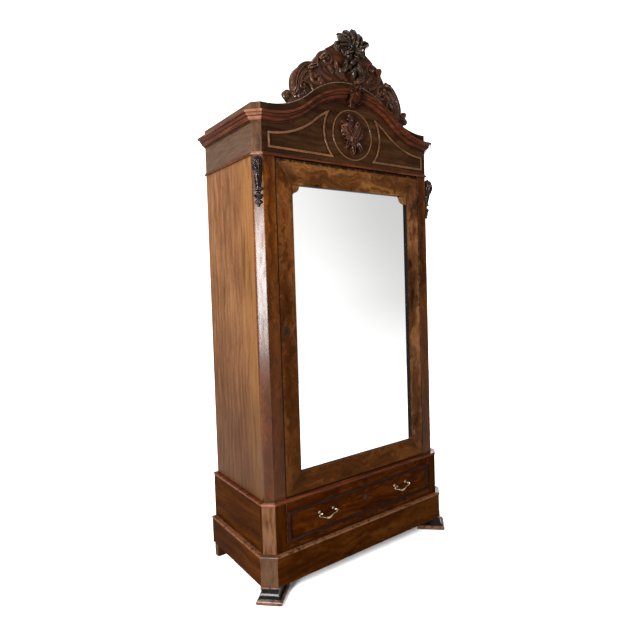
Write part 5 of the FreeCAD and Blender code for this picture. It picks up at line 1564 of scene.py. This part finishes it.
@dataclass
class Bouquet:
    """Fruit and leaves in the roundel, placed in shares of the bunch.

    Attributes:
        leaves: place, bearing in degrees, length and width of each leaf.
        pods: place, size and lean in degrees of each ribbed fruit.
        berries: place and radius of each berry.
        left: distance of the bunch to the left of its solid, in metres.
    """

    leaves: Rows = (
        (-0.34, 0.34, 158.0, 0.66, 0.42), (0.20, 0.36, 50.0, 0.44, 0.42),
        (-0.44, 0.00, 196.0, 0.42, 0.46), (0.44, -0.02, -14.0, 0.36, 0.42),
        (-0.30, -0.26, 240.0, 0.72, 0.46), (0.0, -0.40, 268.0, 0.76, 0.46),
        (0.28, -0.28, 298.0, 0.76, 0.46))
    pods: Rows = (
        (-0.32, 0.10, 0.58, 34.0), (0.38, 0.08, 0.56, -30.0), (0.04, -0.24, 0.50, 8.0))
    berries: Rows = (
        (-0.14, 0.88, 0.20), (-0.30, 0.70, 0.20), (0.05, 0.70, 0.20), (-0.10, 0.49, 0.24),
        (0.26, 0.46, 0.15), (-0.66, 0.44, 0.15), (0.66, -0.12, 0.13))
    left: float = 0.012

    def build(self) -> None:
        """Carve the bunch in the box of its solid."""
        low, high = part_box("roundel_bouquet")
        half, tall, deep = (high.x - low.x) * 0.57, (high.z - low.z) * 0.55, high.y - low.y
        carver = Carver()
        for x, z, angle, length, width in self.leaves:
            carver.leaf((x * half, z * tall, 0.004), angle,
                        (length * half, width * half, 0.056), 10.0, 1.0)
        for x, z, size, lean in self.pods:
            wide = size * half
            carver.fruit((x * half, z * tall, deep * 0.36),
                         (wide * 0.95, wide * 1.15, wide * 0.7), lean, True)
        for x, z, size in self.berries:
            carver.fruit((x * half, z * tall, deep * 0.32), (size * half,) * 3)
        middle = (low + high) / 2
        piece = carver.finish("bouquet_carving", Vector((middle.x - self.left, high.y, middle.z)))
        wood = RED_CARVING.material("carved_bouquet", Grain.UPRIGHT, 94)
        settle(piece, wood, "cabinet", "ebonised", "roundel_bouquet")


@dataclass
class Corbels:
    """Black consoles on the canted corners: leaf head, rounded shaft, roll and a drop with a ball.

    Attributes:
        block: box of one console.
        cant_leg: leg of the canted corners, in metres.
        spine: console from its top, as shares of the height and the depth.
        cores: height, depth, and half width, height and depth of the solid cores, as shares.
    """

    block: Block = Block(0.020, 0.207, 0.042)
    cant_leg: float = 0.030
    spine: Pairs = ((0.97, 0.10), (0.90, 0.34), (0.76, 0.46), (0.60, 0.34),
                    (0.46, 0.16), (0.34, 0.06))
    cores: Rows = (
        (0.80, 0.30, 0.84, 0.160, 0.36), (0.62, 0.18, 0.70, 0.200, 0.25),
        (0.42, 0.08, 0.60, 0.160, 0.17), (0.20, 0.05, 0.40, 0.190, 0.12),
        (0.79, 0.58, 0.66, 0.120, 0.41), (0.895, 0.42, 0.86, 0.078, 0.42),
        (0.345, 0.20, 0.80, 0.034, 0.28), (0.265, 0.13, 0.42, 0.050, 0.18))

    def build(self) -> None:
        """Carve a console on each corner."""
        low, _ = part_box("corbels")
        post_low, post_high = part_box("corner_post_right")
        wood = BLACK_CARVING.material("carved_corbels", Grain.UPRIGHT, 95)
        cant_x = post_high.x - self.cant_leg / 2
        cant_y = post_low.y + self.cant_leg / 2
        pieces = [self._carve(name, Vector((sign * cant_x, cant_y, low.z)), 45.0 * sign)
                  for name, sign in zip(("corbel_left", "corbel_right"), SIDES)]
        for piece in pieces:
            settle(piece, wood, "cabinet", "ebonised", "corbels")

    def _carve(self, name: str, place: Vector, turn: float) -> bpy.types.Object:
        """Carve one console standing on its foot.

        Args:
            name: name of the piece.
            place: where its foot stands.
            turn: turn about the vertical, in degrees.

        Returns:
            The console.
        """
        carver = Carver()
        block = self.block
        half, tall = block.half, block.tall
        carver.band(block.spine(self.spine), (half * 1.8, half * 1.25), Section.ROUNDED,
                    block.deep * 0.40)
        for up, out, *size in self.cores:
            carver.fruit(block.at(0.0, up, out), block.at(*size))
        carver.fruit(block.at(0.0, 0.74, 0.50), block.at(0.80, 0.120, 0.44), 0.0, True)
        carver.leaf(block.at(0.0, 0.66, 0.66), 90.0, (tall * 0.25, half * 1.25, 0.024), -66.0, 16.0)
        carver.leaves(block.at(0.46, 0.62, 0.40), 4.0, (tall * 0.24, half * 0.7, 0.024), 24.0, 4.0)
        carver.fruits(block.at(0.55, 0.90, 0.46), block.round(0.34, 0.40, 0.26))
        carver.leaves(block.at(0.10, 0.34, 0.10), 74.0, (half * 1.1, half * 0.7, 0.02), 30.0)
        carver.leaves(block.at(0.0, 0.16, 0.10), 40.0, (half * 1.3, half * 0.8, 0.02), 30.0)
        carver.fruits(block.at(0.42, 0.10, 0.14), block.round(0.36, 0.42, 0.16))
        carver.fruit(block.at(0.0, 0.13, 0.16), block.round(0.46, 0.62, 0.20), 0.0, True)
        carver.fruit(block.at(0.0, 0.045, 0.12), block.round(0.36, 0.40, 0.16))
        return carver.finish(name, place, turn)


@dataclass
class Handles:
    """Thin cast drop handles: a swan-necked bail with a leaf at its foot, on two slim posts.

    Attributes:
        spacing: distance between the posts, in metres.
        wire: thickness of the bail.
        neck: right half of the bail from its pin, across and up.
        foot: end of that half at the middle of the bail.
        post: place along a post, radius in metres and half length of each knob.
    """

    spacing: float = 0.076
    wire: float = 0.0027
    neck: Pairs = ((-0.004, 0.0), (0.004, 0.001), (0.010, -0.002), (0.0125, -0.008),
                   (0.008, -0.014), (-0.002, -0.016), (-0.012, -0.018),
                   (-0.020, -0.024), (-0.028, -0.028))
    foot: Pair = (0.004, -0.029)
    post: Rows = ((0.08, 0.0072, 0.12), (0.48, 0.0034, 0.50), (0.80, 0.0050, 0.20))

    def build(self) -> None:
        """Cast the posts, and one bail for each swing."""
        brass = OLD_BRASS.material("old_brass")
        middles = []
        for side in ("left", "right"):
            low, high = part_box("bail_" + side)
            middle = (low + high) / 2
            middles.append(Vector((middle.x, middle.y, high.z - self.wire / 2)))
            piece = self._cast_bail("bail_cast_" + side, middles[-1])
            settle(piece, brass, f"bail_{side}_swing", "brass", "bail_" + side)
        settle(self._cast_posts(middles), brass, "drawer", "brass", "handle_posts")

    def _cast_bail(self, name: str, place: Vector) -> bpy.types.Object:
        """Cast one bail.

        Args:
            name: name of the piece.
            place: point midway between its pins.

        Returns:
            The bail.
        """
        carver = Carver()
        pin = self.spacing / 2
        right = [(pin + x, z) for x, z in self.neck] + [self.foot]
        carver.band(mirrored(right) + right[::-1], (self.wire, self.wire), Section.ROUNDED,
                    self.wire * 0.55)
        carver.leaves((0.002, -0.0275, 0.0), 78.0, (0.017, 0.010, 0.010), 14.0)
        carver.fruits((pin + 0.0118, -0.007, 0.0004), (0.0032, 0.0032, 0.003))
        carver.fruits((pin - 0.016, -0.0205, 0.0004), (0.0030, 0.0026, 0.0026))
        carver.fruit((0.0, -0.0285, 0.0008), (0.0048, 0.0044, 0.0036))
        return carver.finish(name, place)

    def _cast_posts(self, middles: list[Vector]) -> bpy.types.Object:
        """Cast the four posts as one piece.

        Args:
            middles: points midway between the pins of each bail.

        Returns:
            The posts.
        """
        carver = Carver()
        low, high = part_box("handle_posts")
        reach = high.y - low.y
        for middle in middles:
            for sign in SIDES:
                spot = (middle.x + sign * self.spacing / 2, middle.z - low.z)
                for out, radius, length in self.post:
                    carver.fruit((*spot, reach * out), (radius, radius, reach * length))
        return carver.finish("handle_posts_cast", Vector((0.0, high.y, low.z)))


@dataclass
class Studio:
    """Pale floor, soft light and a camera where the photograph was taken.

    Attributes:
        eye: place of the camera, in metres.
        azimuth, elevation, roll: turn of the camera, in degrees.
        focal_px: focal length in pixels of a square image.
        axis_px: where the optical axis meets the image, in pixels.
        image_px: side of the square image.
        sensor_mm: width of the sensor.
        floor_side: side of the floor, in metres.
        floor_tones: darkest and lightest tone of the floor to the camera.
        bounce: colour that the floor returns to the wood.
        sky_tones: tone of the sky that the mirror shows, by height from -1 to 1.
        sky_strength: strength of the sky.
        shade_lean: lean of the slanting shade in the mirror.
        shade_across, shade_above: where the shade begins and is full, across and in height.
        shade_depth: share of it.
    """

    eye: tuple[float, float, float] = (-1.5214, -2.0896, 1.3451)
    azimuth: float = -37.0145
    elevation: float = 2.4386
    roll: float = -1.6642
    focal_px: float = 508.178
    axis_px: Pair = (338.22, 302.92)
    image_px: float = 640.0
    sensor_mm: float = 36.0
    floor_side: float = 8.0
    floor_tones: Pair = (0.94, 0.97)
    bounce: Colour = (0.30, 0.30, 0.30)
    sky_tones: Pairs = ((-0.60, 0.15), (-0.50, 0.58), (0.0, 0.58), (0.10, 0.53),
                        (0.40, 0.44), (1.0, 0.98))
    sky_strength: float = 2.0
    shade_lean: float = 0.265
    shade_across: Pair = (0.545, 0.73)
    shade_above: Pair = (-0.17, -0.02)
    shade_depth: float = 0.34

    def build(self) -> None:
        """Make the floor, the light and the camera."""
        self.lay_floor()
        self.hang_lights()
        self.set_camera()
        bpy.context.scene.view_settings.view_transform = "Standard"

    def lay_floor(self) -> None:
        """Lay a pale plain floor."""
        bpy.ops.object.select_all(action="DESELECT")
        bpy.ops.mesh.primitive_plane_add(size=self.floor_side)
        floor = bpy.context.object
        floor.name = "studio_floor"
        graph = Graph(bpy.data.materials.new("pale_floor"))
        tone = graph.noise(graph.place(), 3.0, 3.0)
        pale = graph.mix(tone, *((shade,) * 3 for shade in self.floor_tones))
        seen = graph.node("BsdfPrincipled", {}, {"Base Color": pale, "Roughness": 1.0,
                                                 "Specular IOR Level": 0.0})
        bounced = graph.node("BsdfDiffuse", {}, {"Color": (*self.bounce, 1.0)})
        share = graph.node("LightPath", output="Is Diffuse Ray")
        graph.close("OutputMaterial", graph.node("MixShader", {}, {0: share, 1: seen, 2: bounced}))
        floor.data.materials.append(graph.owner)

    def hang_lights(self) -> None:
        """Light the room evenly, with a tall window at the left and three weaker lights."""
        world = bpy.data.worlds.new("studio_white")
        bpy.context.scene.world = world
        sky = Graph(world)
        towards = sky.node("TexCoord", output="Generated")
        across, height = (sky.node("SeparateXYZ", {}, {0: towards}, axis) for axis in "XZ")
        stops = [(at * 0.5 + 0.5, (tone,) * 3) for at, tone in self.sky_tones]
        room = sky.node("ValToRGB", {"stops": stops}, {0: height * 0.5 + 0.5})
        slant = sky.ramp(across + height * self.shade_lean, *self.shade_across)
        shade = slant * sky.ramp(height, *self.shade_above) * self.shade_depth
        room = sky.mix(shade, room, (0.0, 0.0, 0.0))
        seen = sky.node("LightPath", output="Is Camera Ray")
        shine = sky.node("Background", {}, {"Color": sky.mix(seen, room, (1.0, 1.0, 1.0)),
                                            "Strength": self.sky_strength})
        sky.close("OutputWorld", shine)
        self.hang("left_window", (-3.2, -1.75, 1.35), (-0.5, -0.2, 1.25), (0.45, 1.4), 380.0)
        self.hang("left_above", (-2.4, 0.5, 3.4), (-0.5, 0.0, 1.7), (1.0, 1.0), 60.0)
        self.hang("right_behind", (3.4, 1.6, 2.0), (0.4, 0.0, 1.2), (1.6, 1.6), 130.0)
        self.hang("front_above", (0.6, -3.0, 3.4), (0.0, 0.0, 1.4), (1.6, 1.0), 30.0)

    def hang(self, name: str, place: Point, target: Point, sides: Pair, watts: float) -> None:
        """Hang one soft light.

        Args:
            name: name of the light.
            place: where it hangs, in metres.
            target: point that it faces.
            sides: width and height of its face.
            watts: power.
        """
        lamp = bpy.data.lights.new(name, "AREA")
        lamp.shape = "RECTANGLE"
        lamp.size, lamp.size_y = sides
        lamp.energy = watts
        holder = bpy.data.objects.new(name, lamp)
        bpy.context.scene.collection.objects.link(holder)
        holder.location = place
        holder.rotation_euler = (Vector(target) - Vector(place)).to_track_quat("-Z", "Y").to_euler()

    def set_camera(self) -> None:
        """Stand the camera where the photograph was taken."""
        a, e, r = (math.radians(v) for v in (self.azimuth, self.elevation, self.roll))
        back = Vector((math.sin(a) * math.cos(e), -math.cos(a) * math.cos(e), math.sin(e)))
        level = Vector((math.cos(a), math.sin(a), 0.0))
        upright = back.cross(level)
        right = level * math.cos(r) + upright * math.sin(r)
        up = upright * math.cos(r) - level * math.sin(r)
        data = bpy.data.cameras.new("camera")
        data.sensor_width = self.sensor_mm
        data.lens = self.focal_px / self.image_px * self.sensor_mm
        data.shift_x = -(self.axis_px[0] - self.image_px / 2) / self.image_px
        data.shift_y = (self.axis_px[1] - self.image_px / 2) / self.image_px
        camera = bpy.data.objects.new("camera", data)
        bpy.context.scene.collection.objects.link(camera)
        turn = Matrix((right, up, back)).transposed()
        camera.matrix_world = Matrix.Translation(self.eye) @ turn.to_4x4()
        bpy.context.scene.camera = camera


def main() -> None:
    """Dress the cabinet and light it."""
    logging.basicConfig(level=logging.INFO)
    Studio().build()
    Woodwork().dress()
    Door().dress()
    Furniture().dress()
    Handles().build()
    Crest().build()
    Keystone().build()
    Bouquet().build()
    Corbels().build()


if __name__ == "__main__":
    main()
